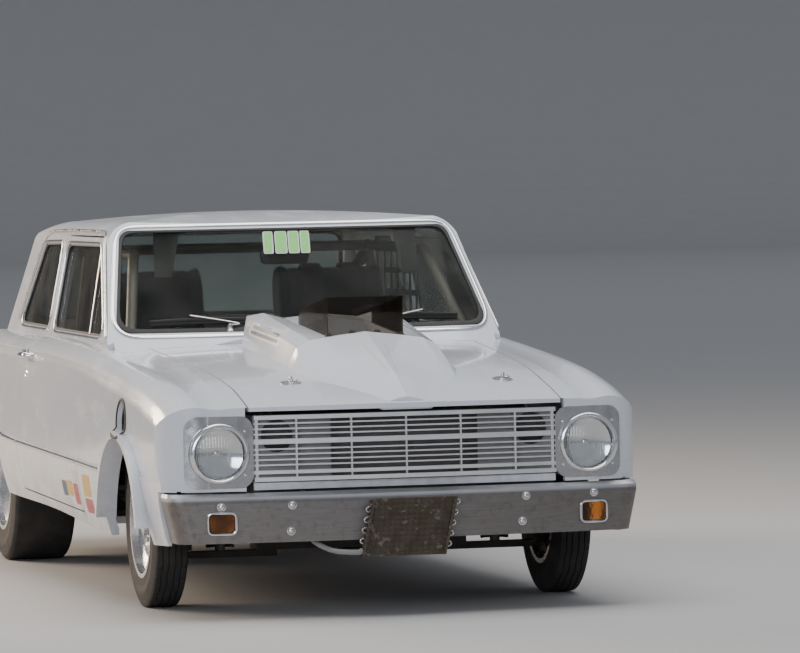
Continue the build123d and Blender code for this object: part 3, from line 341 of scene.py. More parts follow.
def white_paint(name):
    """Body paint with green pinstripes, road film, chips on the nose and faint smears."""
    finish = Finish(name, body_white, 0.3, Coat_Roughness=0.07, Coat_Weight=0.55)
    clouds = finish.noise(1.6, 3)
    colour = finish.mix(clouds.above(0.5, 0.3) * 0.25, body_white, tuple(0.90 * c for c in body_white))
    side = abs(finish.x)
    # Two thin lines that open like a reed on the raised middle of the bonnet
    line = side - (0.010 + 0.030 * finish.z.above(0.86, 0.08))
    pin = (1 - abs(line).above(0.0014, 0.0004)) * finish.y.between(-2.06, -1.78, 0.01)
    # A wavy line on each flank, ahead of the door
    wave = finish.y.wave(0.34) * 0.006
    flank = 1 - abs(finish.z - 0.655 - wave).above(0.0012, 0.0005)
    flank = flank * finish.y.between(-1.02, -0.80, 0.012) * side.above(0.80, 0.01)
    colour = finish.mix((pin + flank).least(1.0) * 0.6, colour, pin_green)
    colour, film = road_film(finish, colour)
    chips = (1 - finish.cells(150).above(0.055, 0.01)) * finish.noise(14, 3).above(0.61, 0.05)
    chips = chips * (1 - finish.y.above(-1.95, 0.12))
    colour = finish.mix(chips, colour, bare_chip)
    smear = finish.noise(9, 5, stretch=(1, 0.4, 1)).above(0.60, 0.16)
    finish.set("Base Color", finish.mix(smear * 0.07, colour, dry_smear))
    finish.set("Roughness", 0.22 + smear * 0.10 + film * 0.5)
    finish.set("Coat Weight", (0.7 - film * 0.9 - smear * 0.15).most(0.0))
    finish.bump(finish.noise(7, 2) + finish.noise(420, 2) * 0.012, 0.0010, 0.35)
    return finish.material


paint = white_paint("white_paint")

# %% [markdown]
# ## Metals
# Chrome, brushed steel, cast metal and bare aluminium differ in how rough they are and in which
# direction the roughness runs. Pits, water marks and rust are scattered by noise.

# %% Chrome, steel and aluminium


def bright_metal(name, colour, roughness, pits=0.05, haze=0.12, wavy=0.0):
    """Chrome or polished alloy: cloudy haze, rust-filled pits, a painted reflection of the dark ground on the
    low parts and, where wavy is set, slow dents.
    """
    finish = Finish(name, colour, roughness, 1.0)
    spots = (1 - finish.cells(260).above(0.07, 0.02)) * finish.noise(16, 3).above(0.62 - pits, 0.05)
    cloud = finish.noise(30, 5).above(0.5, 0.2)
    # Painted reflection of the dark ground: the low parts are darkened in cloudy patches
    low = 1 - finish.z.above(0.45, 0.25)
    tone = finish.mix(cloud * haze, colour, tuple(0.7 * c for c in colour))
    tone = finish.mix(low * cloud * 0.35, tone, (0.22, 0.17, 0.12))
    finish.set("Base Color", finish.mix(spots, tone, (0.16, 0.09, 0.05)))
    finish.set("Roughness", roughness + cloud * haze * 0.5 + spots * 0.4)
    finish.bump(finish.noise(220, 2) * 0.3 + finish.noise(18, 2) * wavy - spots, 0.0004, 0.4)
    return finish.material


def brushed_metal(name, colour, roughness, stretch, dirt=0.5, highlight_height=None):
    """Metal brushed along one axis, stained, with a painted highlight on the top above a given height where
    that is given.
    """
    finish = Finish(name, colour, roughness, 1.0, Anisotropic=0.4)
    lines = finish.noise(160, 4, stretch=stretch)
    cloud = finish.noise(7, 5).above(0.48, 0.2)
    stain = finish.noise(40, 5).above(0.6, 0.08)
    tone = finish.mix(lines.above(0.5, 0.25) * 0.45, colour, tuple(0.62 * c for c in colour))
    tone = finish.mix(cloud * dirt * 0.5, tone, (0.17, 0.125, 0.09))
    tone = finish.mix(stain * dirt * 0.5, tone, (0.09, 0.065, 0.045))
    # Painted highlight: everything above the given height is lightened, as if lit on its top
    if highlight_height is not None:
        tone = finish.mix(finish.z.above(highlight_height, 0.006) * 0.8, tone, (0.62, 0.62, 0.64))
    finish.set("Base Color", tone)
    finish.set("Roughness", roughness + lines * 0.14 + cloud * 0.12)
    finish.bump(lines, 0.0003, 0.5)
    return finish.material


def dull_metal(name, colour, roughness=0.6, metallic=0.6, rust=0.3, grain=240):
    """Cast or painted metal: a sandy skin with cloudy rust."""
    finish = Finish(name, colour, roughness, metallic)
    cloud = finish.noise(24, 5).above(0.52, 0.14)
    sand = finish.noise(grain, 3)
    tone = finish.mix(sand.above(0.5, 0.2) * 0.4, colour, tuple(0.6 * c for c in colour))
    finish.set("Base Color", finish.mix(cloud * rust, tone, (0.145, 0.085, 0.05)))
    finish.set("Roughness", roughness + cloud * 0.15)
    finish.bump(sand, 0.0008, 0.6)
    return finish.material


chrome = bright_metal("chrome", (0.80, 0.80, 0.81), 0.09)
lamp_chrome = bright_metal("lamp_chrome", (0.66, 0.66, 0.68), 0.10, 0.05, 0.3, wavy=2.5)
old_chrome = bright_metal("old_chrome", (0.60, 0.59, 0.58), 0.17, 0.10, 0.3, wavy=2.0)
alloy = bright_metal("polished_alloy", (0.70, 0.70, 0.72), 0.20, 0.02, 0.25)
# The bumper's top above 0.408 m carries a painted highlight
brushed = brushed_metal("brushed_bumper", (0.25, 0.235, 0.23), 0.30, (0.02, 1, 1), 0.45, 0.408)
grille_alloy = brushed_metal("grille_alloy", (0.86, 0.86, 0.87), 0.30, (0.02, 1, 1), 0.12)


def cooler_finish(name):
    """Fins between the tubes: fine upright lines of painted shade in the gaps between the fins darken the
    core, bent over here and there.
    """
    finish = Finish(name, (0.16, 0.135, 0.11), 0.5, 0.85)
    bent = finish.noise(45, 3)
    fins = (finish.x + bent * 0.0012).wave(0.0042)
    cloud = finish.noise(22, 5).above(0.5, 0.2)
    tubes = finish.z.wave(0.0178).above(0.2, 0.5)
    # Painted shade: near-black stripes stand for the shaded gaps between the fins
    tone = finish.mix(fins.above(0.0, 0.5), (0.035, 0.028, 0.022), (0.25, 0.21, 0.17))
    tone = finish.mix(cloud * 0.45, tone, (0.12, 0.085, 0.055))
    finish.set("Base Color", finish.mix(bent.above(0.64, 0.05) * 0.5, tone, (0.42, 0.38, 0.33)))
    finish.set("Roughness", 0.42 + cloud * 0.25)
    finish.bump(fins + tubes, 0.0012, 0.8)
    return finish.material


cooler_alloy = cooler_finish("cooler_alloy")
cast_iron = dull_metal("cast_iron", (0.075, 0.072, 0.07))
black_steel = dull_metal("black_steel", (0.035, 0.034, 0.034), 0.5, 0.3, 0.15)
grey_steel = dull_metal("grey_underpaint", (0.165, 0.165, 0.17), 0.62, 0.1, 0.35)
pipe_steel = dull_metal("pipe_steel", (0.20, 0.175, 0.155), 0.42, 0.85, 0.45, 160)
cage_paint = dull_metal("cage_paint", (0.20, 0.17, 0.145), 0.42, 0.15, 0.08, 90)

# %% [markdown]
# ## Rubber, glass, cloth and plastic
# A lens is thick and bends light, so it is a transmission shader. A window pane is thin, so it is a
# see-through shader mixed with gloss at a slant and a dusty film. Panes and headlamp glass cast no shadow.

# %% Rubber, glass, cloth and plastic


def front_panel_paint(name):
    """Painted shade: dark grey in place of the body white behind the grille, body white on the strip below
    it, dusty all over.
    """
    painted_shade_grey, strip_top = (0.30, 0.30, 0.31), 0.463
    finish = Finish(name, painted_shade_grey, 0.5)
    dust = finish.noise(20, 5).above(0.5, 0.2)
    # Painted shade: above the strip the white panel is grey, standing for the shadow behind the grille
    tone = finish.mix(finish.z.above(strip_top, 0.002), body_white, painted_shade_grey)
    finish.set("Base Color", finish.mix(dust * 0.3, tone, (0.24, 0.20, 0.16)))
    finish.set("Roughness", 0.42 + dust * 0.25)
    finish.bump(finish.noise(160, 3), 0.0004, 0.3)
    return finish.material


def rubber(name, colour=(0.022, 0.021, 0.021), roughness=0.72, dust=0.5):
    """Dark rubber or felt with a gritty skin and clouds of dust."""
    finish = Finish(name, colour, roughness)
    cloud = finish.noise(14, 5).above(0.5, 0.18)
    grit = finish.noise(300, 3)
    finish.set("Base Color", finish.mix(cloud * dust, colour, (0.085, 0.072, 0.06)))
    finish.set("Roughness", roughness + grit * 0.15)
    finish.bump(grit + cloud * 0.4, 0.0006, 0.5)
    return finish.material


def clear(name, colour, roughness=0.03, dust=0.25, depth=0.0):
    """Thick clear stuff that bends light, such as a lamp's lens."""
    finish = Finish(name, colour, roughness, 0.0, Transmission_Weight=1.0, IOR=1.45)
    film = finish.noise(8, 6).above(0.52, 0.18)
    finish.set("Roughness", roughness + film * dust * 0.25)
    finish.set("Base Color", finish.mix(film * dust, colour, tuple(0.8 * c for c in colour)))
    finish.bump(finish.noise(6, 1) + finish.noise(90, 1) * depth, 0.0008, 0.25)
    return finish.material


def thin_pane(name, colour, dust=0.10, veil=(0.35, 0.32, 0.28), low_dust=0.0):
    """A thin pane: see-through mixed with a dark gloss that grows at a slant, and a film of dust on it."""
    finish = Finish(name, tuple(0.12 * c for c in veil), 0.04)
    film = finish.noise(5, 6).above(0.50, 0.22)
    grit = finish.noise(210, 3).above(0.60, 0.08)
    wiped = finish.noise(16, 4, stretch=(0.3, 1, 1)).above(0.55, 0.12)
    cover = (film * dust + grit * film * dust * 0.9 + wiped * dust * 0.3 + low_dust).least(0.9)
    slant = Field(finish, finish.node("LayerWeight", {}, {"Blend": 0.22}).outputs["Fresnel"])
    finish.set("Base Color", finish.mix((cover * 3).least(1.0), (0.02, 0.02, 0.02), veil))
    finish.set("Roughness", 0.03 + cover * 1.2)
    finish.bump(finish.noise(4, 1), 0.0006, 0.2)
    through = finish.node("BsdfTransparent", {}, {0: (*colour, 1)})
    amount = (slant * 0.75 + cover).least(1.0)
    mixed = finish.node("MixShader", {}, {0: amount, 1: through.outputs[0], 2: finish.shader.outputs[0]})
    finish.tree.links.new(mixed.outputs[0], finish.tree.nodes["Material Output"].inputs[0])
    return finish.material


def woven(name, colour, second, pitch=0.0022, roughness=0.9):
    """Plain weave: two crossed sine fields, one thread over the other."""
    finish = Finish(name, colour, roughness, 0.0, Sheen_Weight=0.25)
    over = finish.x.wave(pitch) * (finish.z + finish.y).wave(pitch)
    wear = finish.noise(11, 5).above(0.52, 0.15)
    tone = finish.mix(over.above(0.0, 0.5) * 0.7, colour, second)
    finish.set("Base Color", finish.mix(wear * 0.3, tone, tuple(min(1, 1.6 * c + 0.02) for c in colour)))
    finish.bump(over, 0.0006, 0.7)
    return finish.material


def moulded(name, colour, roughness=0.55, grain=420):
    """Moulded plastic with a pebble grain and a little dust."""
    finish = Finish(name, colour, roughness)
    pebble = finish.cells(grain)
    dust = finish.noise(13, 5).above(0.53, 0.14)
    finish.set("Base Color", finish.mix(dust * 0.35, colour, tuple(0.6 * c + 0.09 for c in colour)))
    finish.set("Roughness", roughness + dust * 0.2)
    finish.bump(pebble, 0.0006, 0.5)
    return finish.material


seal_rubber = rubber("seal_rubber", (0.03, 0.03, 0.03), 0.6, 0.25)
panel_paint = front_panel_paint("front_panel_paint")
tyre_rubber = rubber("tyre_rubber", dust=0.25)
window_glass = thin_pane("window_glass", (0.80, 0.84, 0.82), 0.05)
smoked_glass = thin_pane("smoked_plastic", (0.56, 0.53, 0.49), 0.10, (0.12, 0.11, 0.10), 0.01)
lens_glass = clear("lens_glass", (0.93, 0.94, 0.93), 0.04, 0.3)
amber_glass = clear("amber_glass", (0.62, 0.22, 0.035), 0.12, 0.5, 2.0)
red_glass = clear("red_glass", (0.50, 0.01, 0.01), 0.12, 0.4, 2.0)
seat_cloth = woven("seat_cloth", (0.028, 0.028, 0.032), (0.05, 0.05, 0.055))
webbing = woven("webbing", (0.045, 0.042, 0.04), (0.085, 0.08, 0.07), 0.0016)
net_webbing = woven("net_webbing", (0.07, 0.062, 0.055), (0.12, 0.11, 0.10), 0.0018)
dash_plastic = moulded("dash_plastic", (0.035, 0.034, 0.035))
trim_plastic = moulded("door_trim", (0.06, 0.058, 0.057), 0.6, 300)

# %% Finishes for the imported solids
solid_finishes = {
    paint: ("body_shell", "fender_l", "fender_r", "door_l", "door_r", "bonnet", "boot_lid"),
    panel_paint: ("front_panel",),
    grey_steel: ("under_body", "radiator"),
    pipe_steel: ("exhaust",),
    lamp_chrome: ("headlamps",),
    grille_alloy: ("grille",),
    old_chrome: ("rear_bumper",),
    brushed: ("front_bumper",),
    cooler_alloy: ("oil_cooler",),
    cast_iron: ("engine", "rear_axle", "front_subframe", "knuckle_l", "knuckle_r"),
    black_steel: ("steering_column",),
    alloy: ("rim_fl", "rim_fr", "rim_rl", "rim_rr"),
    tyre_rubber: ("tyre_fl", "tyre_fr", "tyre_rl", "tyre_rr"),
    window_glass: ("windscreen", "rear_window", "quarter_glass", "door_glass_l", "door_glass_r"),
    smoked_glass: ("wind_deflector",),
    lens_glass: ("lamp_lenses",),
    amber_glass: ("indicators",),
    red_glass: ("tail_lamps",),
    seat_cloth: ("seat_l", "seat_r"),
    net_webbing: ("window_net",),
    dash_plastic: ("dash", "steering_wheel"),
    cage_paint: ("roll_cage",),
}
for finish, names in solid_finishes.items():
    for name in names:
        mesh = nodes[name].data
        mesh.materials.clear()
        mesh.materials.append(finish)
        if finish in (window_glass, smoked_glass, lens_glass):
            nodes[name].visible_shadow = False
print(len(solid_finishes), "finishes on", sum(len(n) for n in solid_finishes.values()), "solids")

# %% [markdown]
# ## Tape, lining and small finishes
# Printed tape and vinyl are smooth colours with scuffs, worn thin at random. Lining cloth and carpet
# are the weave and the grain at another scale. Lamp glass has flutes cut into its height field.

# %% Tape, lining and lamp finishes


def vinyl(name, colour, roughness=0.38):
    """Tape or vinyl film with scuffs along one direction."""
    finish = Finish(name, colour, roughness)
    scuff = finish.noise(60, 5, stretch=(1, 0.3, 1)).above(0.58, 0.08)
    finish.set("Base Color", finish.mix(scuff * 0.35, colour, (0.55, 0.53, 0.50)))
    finish.set("Roughness", roughness + scuff * 0.3)
    finish.bump(finish.noise(220, 3), 0.0004, 0.4)
    return finish.material


def fluted(name, colour, pitch, dust=0.3):
    """Clear glass whose height is a row of rounded flutes, crossed by a few wide steps."""
    finish = Finish(name, colour, 0.05, 0.0, Transmission_Weight=1.0, IOR=1.45)
    film = finish.noise(14, 6).above(0.52, 0.18)
    ribs = abs(finish.x.wave(2 * pitch))
    steps = finish.z.wave(0.034)
    finish.set("Roughness", 0.04 + film * dust * 0.3)
    finish.set("Base Color", finish.mix(film * dust, colour, tuple(0.75 * c for c in colour)))
    finish.bump(ribs + steps * 0.35, 0.0016, 0.6)
    return finish.material


pale_tape = vinyl("pale_tape", (0.62, 0.63, 0.58))
green_tape = vinyl("green_tape", (0.16, 0.60, 0.10))
gold_patch = vinyl("gold_patch", (0.62, 0.38, 0.07))
navy_patch = vinyl("navy_patch", (0.035, 0.055, 0.16))
red_patch = vinyl("red_patch", (0.42, 0.035, 0.04))
grey_patch = vinyl("grey_patch", (0.22, 0.23, 0.25))
orange_tip = vinyl("orange_tip", (0.75, 0.18, 0.03))
gauge_black = moulded("gauge_black", (0.015, 0.015, 0.016), 0.35, 700)
lamp_mirror = bright_metal("lamp_mirror", (0.86, 0.86, 0.87), 0.05, 0.0, 0.05)
headlamp_glass = fluted("headlamp_glass", (0.93, 0.94, 0.94), 0.0105)
lining_cloth = woven("lining_cloth", (0.05, 0.046, 0.042), (0.085, 0.078, 0.07), 0.0035)
carpet_pile = rubber("carpet_pile", (0.028, 0.027, 0.028), 0.95, 0.4)
hose_braid = woven("hose_braid", (0.20, 0.19, 0.18), (0.42, 0.41, 0.40), 0.0030, 0.45)
hose_rubber = rubber("hose_rubber", (0.03, 0.029, 0.028), 0.55, 0.2)
print("tape, lining and lamp finishes ready")

# %% [markdown]
# ## Places on the skin
# Trim lies on the panels, and the panels are curved. A ray from outside finds the skin under each
# point of a trim line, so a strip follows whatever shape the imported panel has.

# %% Rays onto the panels


def skin_tree(*names):
    """The triangles of some solids as one search tree."""
    points, faces = [], []
    for name in names:
        start = len(points)
        points += [v.co.copy() for v in nodes[name].data.vertices]
        faces += [[i + start for i in p.vertices] for p in nodes[name].data.polygons]
    return BVHTree.FromPolygons(points, faces)


looks = {
    "front": (0, 1, 0), "rear": (0, -1, 0), "left": (-1, 0, 0), "right": (1, 0, 0), "top": (0, 0, -1),
    "in_left": (1, 0, 0), "in_right": (-1, 0, 0), "up": (0, 0, 1),
}
ray_start = 4


def seen_from(look, flat):
    """Flat points as places: (x, z) seen from front or rear, (x, y) from the top, (y, z) from a side."""
    flat = np.asarray(flat, float)
    zero = np.zeros(len(flat))
    if look in ("front", "rear"):
        return np.stack([flat[:, 0], zero, flat[:, 1]], 1)
    if look == "top":
        return np.stack([flat[:, 0], flat[:, 1], zero], 1)
    return np.stack([zero, flat[:, 0], flat[:, 1]], 1)


def on_skin(tree, flat, look, lift=0.0):
    """Where rays from outside through flat points meet the skin, and which way the skin faces there."""
    direction = Vector(looks[look])
    places, normals = [], []
    for p in seen_from(look, flat):
        hit, normal, _, _ = tree.ray_cast(Vector(p) - direction * ray_start, direction)
        if hit is not None:
            normal = normal if normal.dot(direction) < 0 else -normal
            places.append(np.array(hit) + lift * np.array(normal))
            normals.append(np.array(normal))
    return np.array(places), np.array(normals)


def spread(points, count, loop=False):
    """Evenly spaced places along a line of points."""
    p = np.asarray(points, float)
    p = np.concatenate([p, p[:1]]) if loop else p
    along = np.concatenate([[0], np.cumsum(np.linalg.norm(np.diff(p, axis=0), axis=1))])
    want = np.linspace(0, along[-1], count, endpoint=not loop)
    return np.stack([np.interp(want, along, p[:, k]) for k in range(p.shape[1])], 1)


def eased(points, times=2, loop=False):
    """Each point moved to the mean of itself and its two neighbours, a few times over."""
    p = np.asarray(points, float)
    for _ in range(times):
        q = (np.roll(p, 1, 0) + 2 * p + np.roll(p, -1, 0)) / 4
        if not loop:
            q[0], q[-1] = p[0], p[-1]
        p = q
    return p


def outline(corners, radius, grow=0.0, steps=7):
    """Loop through the corners of a flat shape, each rounded by an arc, moved outwards by grow."""
    c = np.asarray(corners, float)
    loop = []
    for before, here, after in zip(np.roll(c, 1, 0), c, np.roll(c, -1, 0)):
        a, b = before - here, after - here
        a, b = a / np.linalg.norm(a), b / np.linalg.norm(b)
        half = math.acos(float(a @ b)) / 2
        inward = (a + b) / np.linalg.norm(a + b)
        here = here - inward * grow / math.sin(half)
        r = max(radius + grow, 0.002)
        centre = here + inward * r / math.sin(half)
        u, v = here + a * r / math.tan(half) - centre, here + b * r / math.tan(half) - centre
        turn = math.pi - 2 * half
        t = np.linspace(0, 1, steps)[:, None]
        loop.append(centre + (np.sin((1 - t) * turn) * u + np.sin(t * turn) * v) / math.sin(turn))
    return np.concatenate(loop)


def rectangle(left, right, low, high):
    """The four corners of an upright rectangle."""
    return [(left, low), (right, low), (right, high), (left, high)]


def shell_of(loop, depths, centre):
    """A loop in X and Z at several depths along Y and scales about its middle, closed at both ends."""
    rows = [np.stack([loop[:, 0] * s, np.full(len(loop), d), loop[:, 1] * s], 1) + centre for d, s in depths]
    return np.concatenate(rows), tube(len(rows), len(loop))


def case(half, low, high, radius, depths, centre):
    """A box with rounded long edges: a rectangle in X and Z carried along Y."""
    return shell_of(outline(rectangle(-half, half, low, high), radius), depths, np.asarray(centre, float))


def strip_on(name, tree, flat, look, profile, finish, body="body", loop=False, ease=2):
    """A strip of one profile laid along a line on the skin, its foot on the panel."""
    places, normals = on_skin(tree, flat, look)
    return made(name, carried(profile, eased(places, ease, loop), eased(normals, 4, loop), loop), finish,
                body, 50)


def patch_on(name, tree, corners, look, finish, body="body", thick=0.0008, rows=8, columns=8, lift=0.0):
    """A thin closed sheet on the skin: a grid between four corners, its far side on the panel."""
    c = np.asarray(corners, float)
    u, v = np.meshgrid(np.linspace(0, 1, rows), np.linspace(0, 1, columns), indexing="ij")
    # Corners are drawn in a little, so that the sheet has a rounded outline
    r, s = 0.5 - np.abs(u - 0.5), 0.5 - np.abs(v - 0.5)
    near = np.exp(-((r**2 + s**2) / 0.006)) * 0.03
    u, v = u + near * np.sign(0.5 - u), v + near * np.sign(0.5 - v)
    flat = (c[0] * ((1 - u) * (1 - v))[..., None] + c[1] * (u * (1 - v))[..., None]
            + c[2] * (u * v)[..., None] + c[3] * ((1 - u) * v)[..., None]).reshape(-1, 2)
    under, normals = on_skin(tree, flat, look, lift)
    return made(name, sheet(under, under + normals * thick, rows, columns), finish, body)


def fastened(name, shapes, tree, flat, look, finish, body="body"):
    """The shapes at each point of a flat outline, standing out from the skin."""
    matrices = turns(*on_skin(tree, flat, look))
    return made(name, joined([repeated(shape, matrices) for shape in shapes]), finish, body)


skin_names = ("fender_l", "door_l", "fender_r", "door_r", "bonnet", "front_bumper", "body_shell", "boot_lid")
skins = {n: skin_tree(n) for n in skin_names}
front_skin = skin_tree("body_shell", "windscreen", "door_l", "door_r")
rear_skin = skin_tree("body_shell", "rear_window", "boot_lid")
side_skin = {"l": skin_tree("door_l", "door_glass_l"), "r": skin_tree("door_r", "door_glass_r")}
shell_glass = skin_tree("body_shell", "quarter_glass")
print("skins ready")

# %% [markdown]
# ## Window trim
# Each pane sits in a black rubber bead with a bright strip around it. One rounded outline, grown by
# a few millimetres for each layer and dropped onto the skin by rays, gives every bead and strip the
# true curve of the pane's edge.

# %% Beads and bright strips around the panes
millimetre = 0.001


def side_view(points):
    """(distance behind the front axle, height) in millimetres as (y, z) in metres."""
    p = np.asarray(points, float) * millimetre
    p[:, 0] = back(p[:, 0])
    return p


screen_corners = np.array([(-704, 940), (704, 940), (622, 1314), (-622, 1314)]) * millimetre
rear_corners = np.array([(-640, 950), (640, 950), (590, 1285), (-590, 1285)]) * millimetre
door_pane = side_view([(872, 928), (1896, 936), (1896, 1262), (1226, 1260)])
quarter_pane = side_view([(2012, 940), (2640, 946), (2380, 1262), (2012, 1266)])
window_rows = (
    ("windscreen", front_skin, screen_corners, 0.046, "front", "body", 180),
    ("rear_window", rear_skin, rear_corners, 0.046, "rear", "body", 160),
    ("door_pane_l", side_skin["l"], door_pane, 0.026, "left", "door_l", 150),
    ("door_pane_r", side_skin["r"], door_pane, 0.026, "right", "door_r", 150),
    ("quarter_pane_l", shell_glass, quarter_pane, 0.026, "left", "body", 120),
    ("quarter_pane_r", shell_glass, quarter_pane, 0.026, "right", "body", 120),
)
for name, tree, corners, radius, look, body, count in window_rows:
    screen = name in ("windscreen", "rear_window")
    layers = (
        ("rubber", -0.004 if screen else -0.002, slab(0.022 if screen else 0.012, 0.007), seal_rubber),
        ("bright", 0.013 if screen else 0.008, slab(0.013 if screen else 0.010, 0.006, 0.45), chrome),
    )
    for part, grow, profile, finish in layers:
        flat = spread(outline(corners, radius, grow), count, True)
        strip_on(name + "_" + part, tree, flat, look, profile, finish, body, True, 3)
print(2 * len(window_rows), "beads and strips")

# %% Gutters, side mouldings and window posts
gutter = side_view([(806, 930), (1176, 1300), (1230, 1308), (1900, 1311), (2330, 1306), (2408, 1284),
                    (2668, 962)])
moulding = np.array([(336, 470), (740, 481), (1950, 508), (2400, 525), (3125, 540), (3800, 556)])


def moulding_from(start, end):
    """The moulding's line between two distances behind the front axle."""
    along = np.linspace(start, end, 40)
    return side_view(np.stack([along, np.interp(along, moulding[:, 0], moulding[:, 1])], 1))


for side, look in (("l", "left"), ("r", "right")):
    strip_on("gutter_" + side, skins["body_shell"], spread(gutter, 110), look, slab(0.012, 0.010, 0.4),
             old_chrome, ease=6)
    for part, skin, start, end, body in (
        ("fender", "fender_" + side, 345, 764, "body"),
        ("door", "door_" + side, 786, 1946, "door_" + side),
        ("quarter", "body_shell", 1974, 2436, "body"),
        ("tail", "body_shell", 3130, 3790, "body"),
    ):
        strip_on("moulding_" + part + "_" + side, skins[skin], moulding_from(start, end), look,
                 slab(0.014, 0.008, 0.45), chrome, body)
    post = spread(side_view([(1172, 934), (1226, 1254)]), 20)
    strip_on("vent_post_" + side, side_skin[side], post, look, slab(0.014, 0.008, 0.4), chrome,
             "door_" + side)
print("gutters, mouldings and posts laid")

# %% [markdown]
# ## Handles, wipers and mirror
# Small bright parts are turned about an axis or carried along a short line: a pull handle with a
# push button, a round lock, wiper arms with their blades, and the mirror on its stem.

# %% Handles and locks
handle_reach = 0.034
bar_share = [0, 0.02, 0.08, 0.3, 0.5, 0.7, 0.92, 0.98, 1]
escutcheon = [(-0.002, 0), (-0.002, 0.017), (0.003, 0.017), (0.006, 0.012), (0.006, 0)]
push_button = [(0, 0), (0, 0.013), (0.014, 0.012), (0.017, 0.009), (0.017, 0)]
lock_profile = [(-0.002, 0), (-0.002, 0.015), (0.002, 0.015), (0.004, 0.011), (0.003, 0.009), (0.003, 0.003),
                (0.001, 0.003), (0.001, 0)]
for side, look, sign in (("l", "left", 1), ("r", "right", -1)):
    # Feet of the handle's two ends and of the lock
    feet, normals = on_skin(skins["door_" + side], side_view([(1776, 842), (1900, 846), (1858, 770)]), look)
    rise = np.array([0, 0.5, 1, 1, 1, 1, 1, 0.5, 0]) * handle_reach
    bar_y = np.interp(bar_share, [0, 1], [feet[0, 1], feet[1, 1]])
    bar = np.stack([feet[0, 0] + sign * rise, bar_y, np.full(9, feet[0, 2])], 1)
    made("door_handle_" + side, carried(ring(0.008, 12, 1.3), smoothed(bar, 30), (0, 0, 1)), chrome,
         "door_" + side)
    button = joined([turned(escutcheon, steps=20),
                     repeated(turned(push_button, steps=20), shifts([(0, 0, 0.004)]))])
    made("handle_button_" + side, repeated(button, turns([feet[1] + [0, 0.016, 0]], [normals[1]])), chrome,
         "door_" + side)
    made("door_lock_" + side, repeated(turned(lock_profile, steps=24), turns([feet[2]], [normals[2]])),
         chrome, "door_" + side)

# %% Wipers, inside mirror
for side, sign in (("r", -1), ("l", 1)):
    tip = np.array([sign * 0.239, back(0.708), 0.978])
    heel = np.array([sign * 0.578, back(0.786), 0.974])
    pivot, _ = on_skin(skins["body_shell"], [(sign * 0.300, back(0.690))], "top")
    blade = np.linspace(heel, tip, 24) + np.outer(np.sin(np.linspace(0, np.pi, 24)), (0, -0.006, 0.004))
    blade_up = (0, -0.3, 1)
    made("wiper_blade_" + side, joined([
        carried(slab(0.008, 0.014, 0.4), blade, blade_up),
        carried(slab(0.004, 0.012, 0.3), blade - [0, 0, 0.012], blade_up),
    ]), black_steel)
    middle = (heel + tip) / 2 + [0, -0.004, 0.018]
    arm = smoothed([pivot[0] + [0, 0, 0.024], pivot[0] + [-sign * 0.03, 0.01, 0.030],
                    middle + [sign * 0.02, 0, 0.006], middle], 26)
    made("wiper_arm_" + side, joined([
        carried(slab(0.010, 0.005, 0.4), arm, blade_up),
        turned([(-0.004, 0), (-0.004, 0.016), (0.006, 0.016), (0.012, 0.010), (0.026, 0.009), (0.030, 0.006),
                (0.030, 0)], pivot[0], "z", 24),
    ]), old_chrome)
mirror_loop = outline([(-0.088, -0.026), (0.088, -0.026), (0.096, 0.028), (-0.096, 0.028)], 0.018)
mirror_centre = np.array([-0.026, back(0.972), 1.205])
mirror_depths = [(0, 0.90), (0.004, 0.98), (0.010, 1.0), (0.016, 1.0), (0.018, 0.97), (0.016, 0.95)]
mirror_stem = mirror_centre + np.array([[0, 0.004, 0], [0, 0.006, 0.045], [0, 0.020, 0.067]])
made("inside_mirror", joined([
    shell_of(mirror_loop, mirror_depths, mirror_centre),
    carried(ring(0.006, 10), smoothed(mirror_stem, 16), (1, 0, 0)),
]), black_steel)
print("handles, wipers and mirror made")

# %% [markdown]
# ## Lamps and fasteners
# A sealed round lamp is a mirror bowl behind a fluted glass, held by a bright ring with screws.
# The flutes are in the glass's finish, the bowl is a parabola turned about the lamp's axis.

# %% Headlamps: glass, bowl, bulb and ring
lamp_x, lamp_y, lamp_z = 0.648, back(-0.732), 0.565
glass_radius, glass_curve, glass_thick = 0.0864, 0.3, 0.0035
bowl_radius, bowl_depth, bowl_foot = 0.0845, 0.0165, 0.0325
dome = np.linspace(0, glass_radius, 12)
dome_y = glass_curve - np.sqrt(glass_curve**2 - dome**2) - 0.001
glass_profile = np.concatenate([np.stack([dome_y, dome], 1), np.stack([dome_y + glass_thick, dome], 1)[::-1]])
bowl = np.linspace(0, bowl_radius, 16)
bowl_y = bowl_foot - bowl_depth * (bowl / bowl_radius) ** 2
bowl_profile = np.concatenate([np.stack([bowl_y, bowl], 1),
                               np.stack([bowl_y + 0.001, bowl + 0.0006], 1)[::-1]])
bowl_profile[-1, 1] = 0
bulb_profile = [(0.0318, 0), (0.0318, 0.010), (0.022, 0.010), (0.019, 0.008), (0.018, 0)]
ring_profile = [(-0.0055, 0.0855), (-0.012, 0.0875), (-0.016, 0.0925), (-0.0145, 0.0985), (-0.009, 0.1035),
                (-0.0055, 0.1040), (-0.0055, 0.0855)]
screw = turned([(-0.001, 0), (-0.001, 0.0045), (0.0015, 0.0042), (0.0028, 0.0025), (0.0031, 0)], steps=14)
screw_circle, screw_angles = 0.116, np.radians([40, 140, 220, 320])
bezel_tree = skin_tree("headlamps")
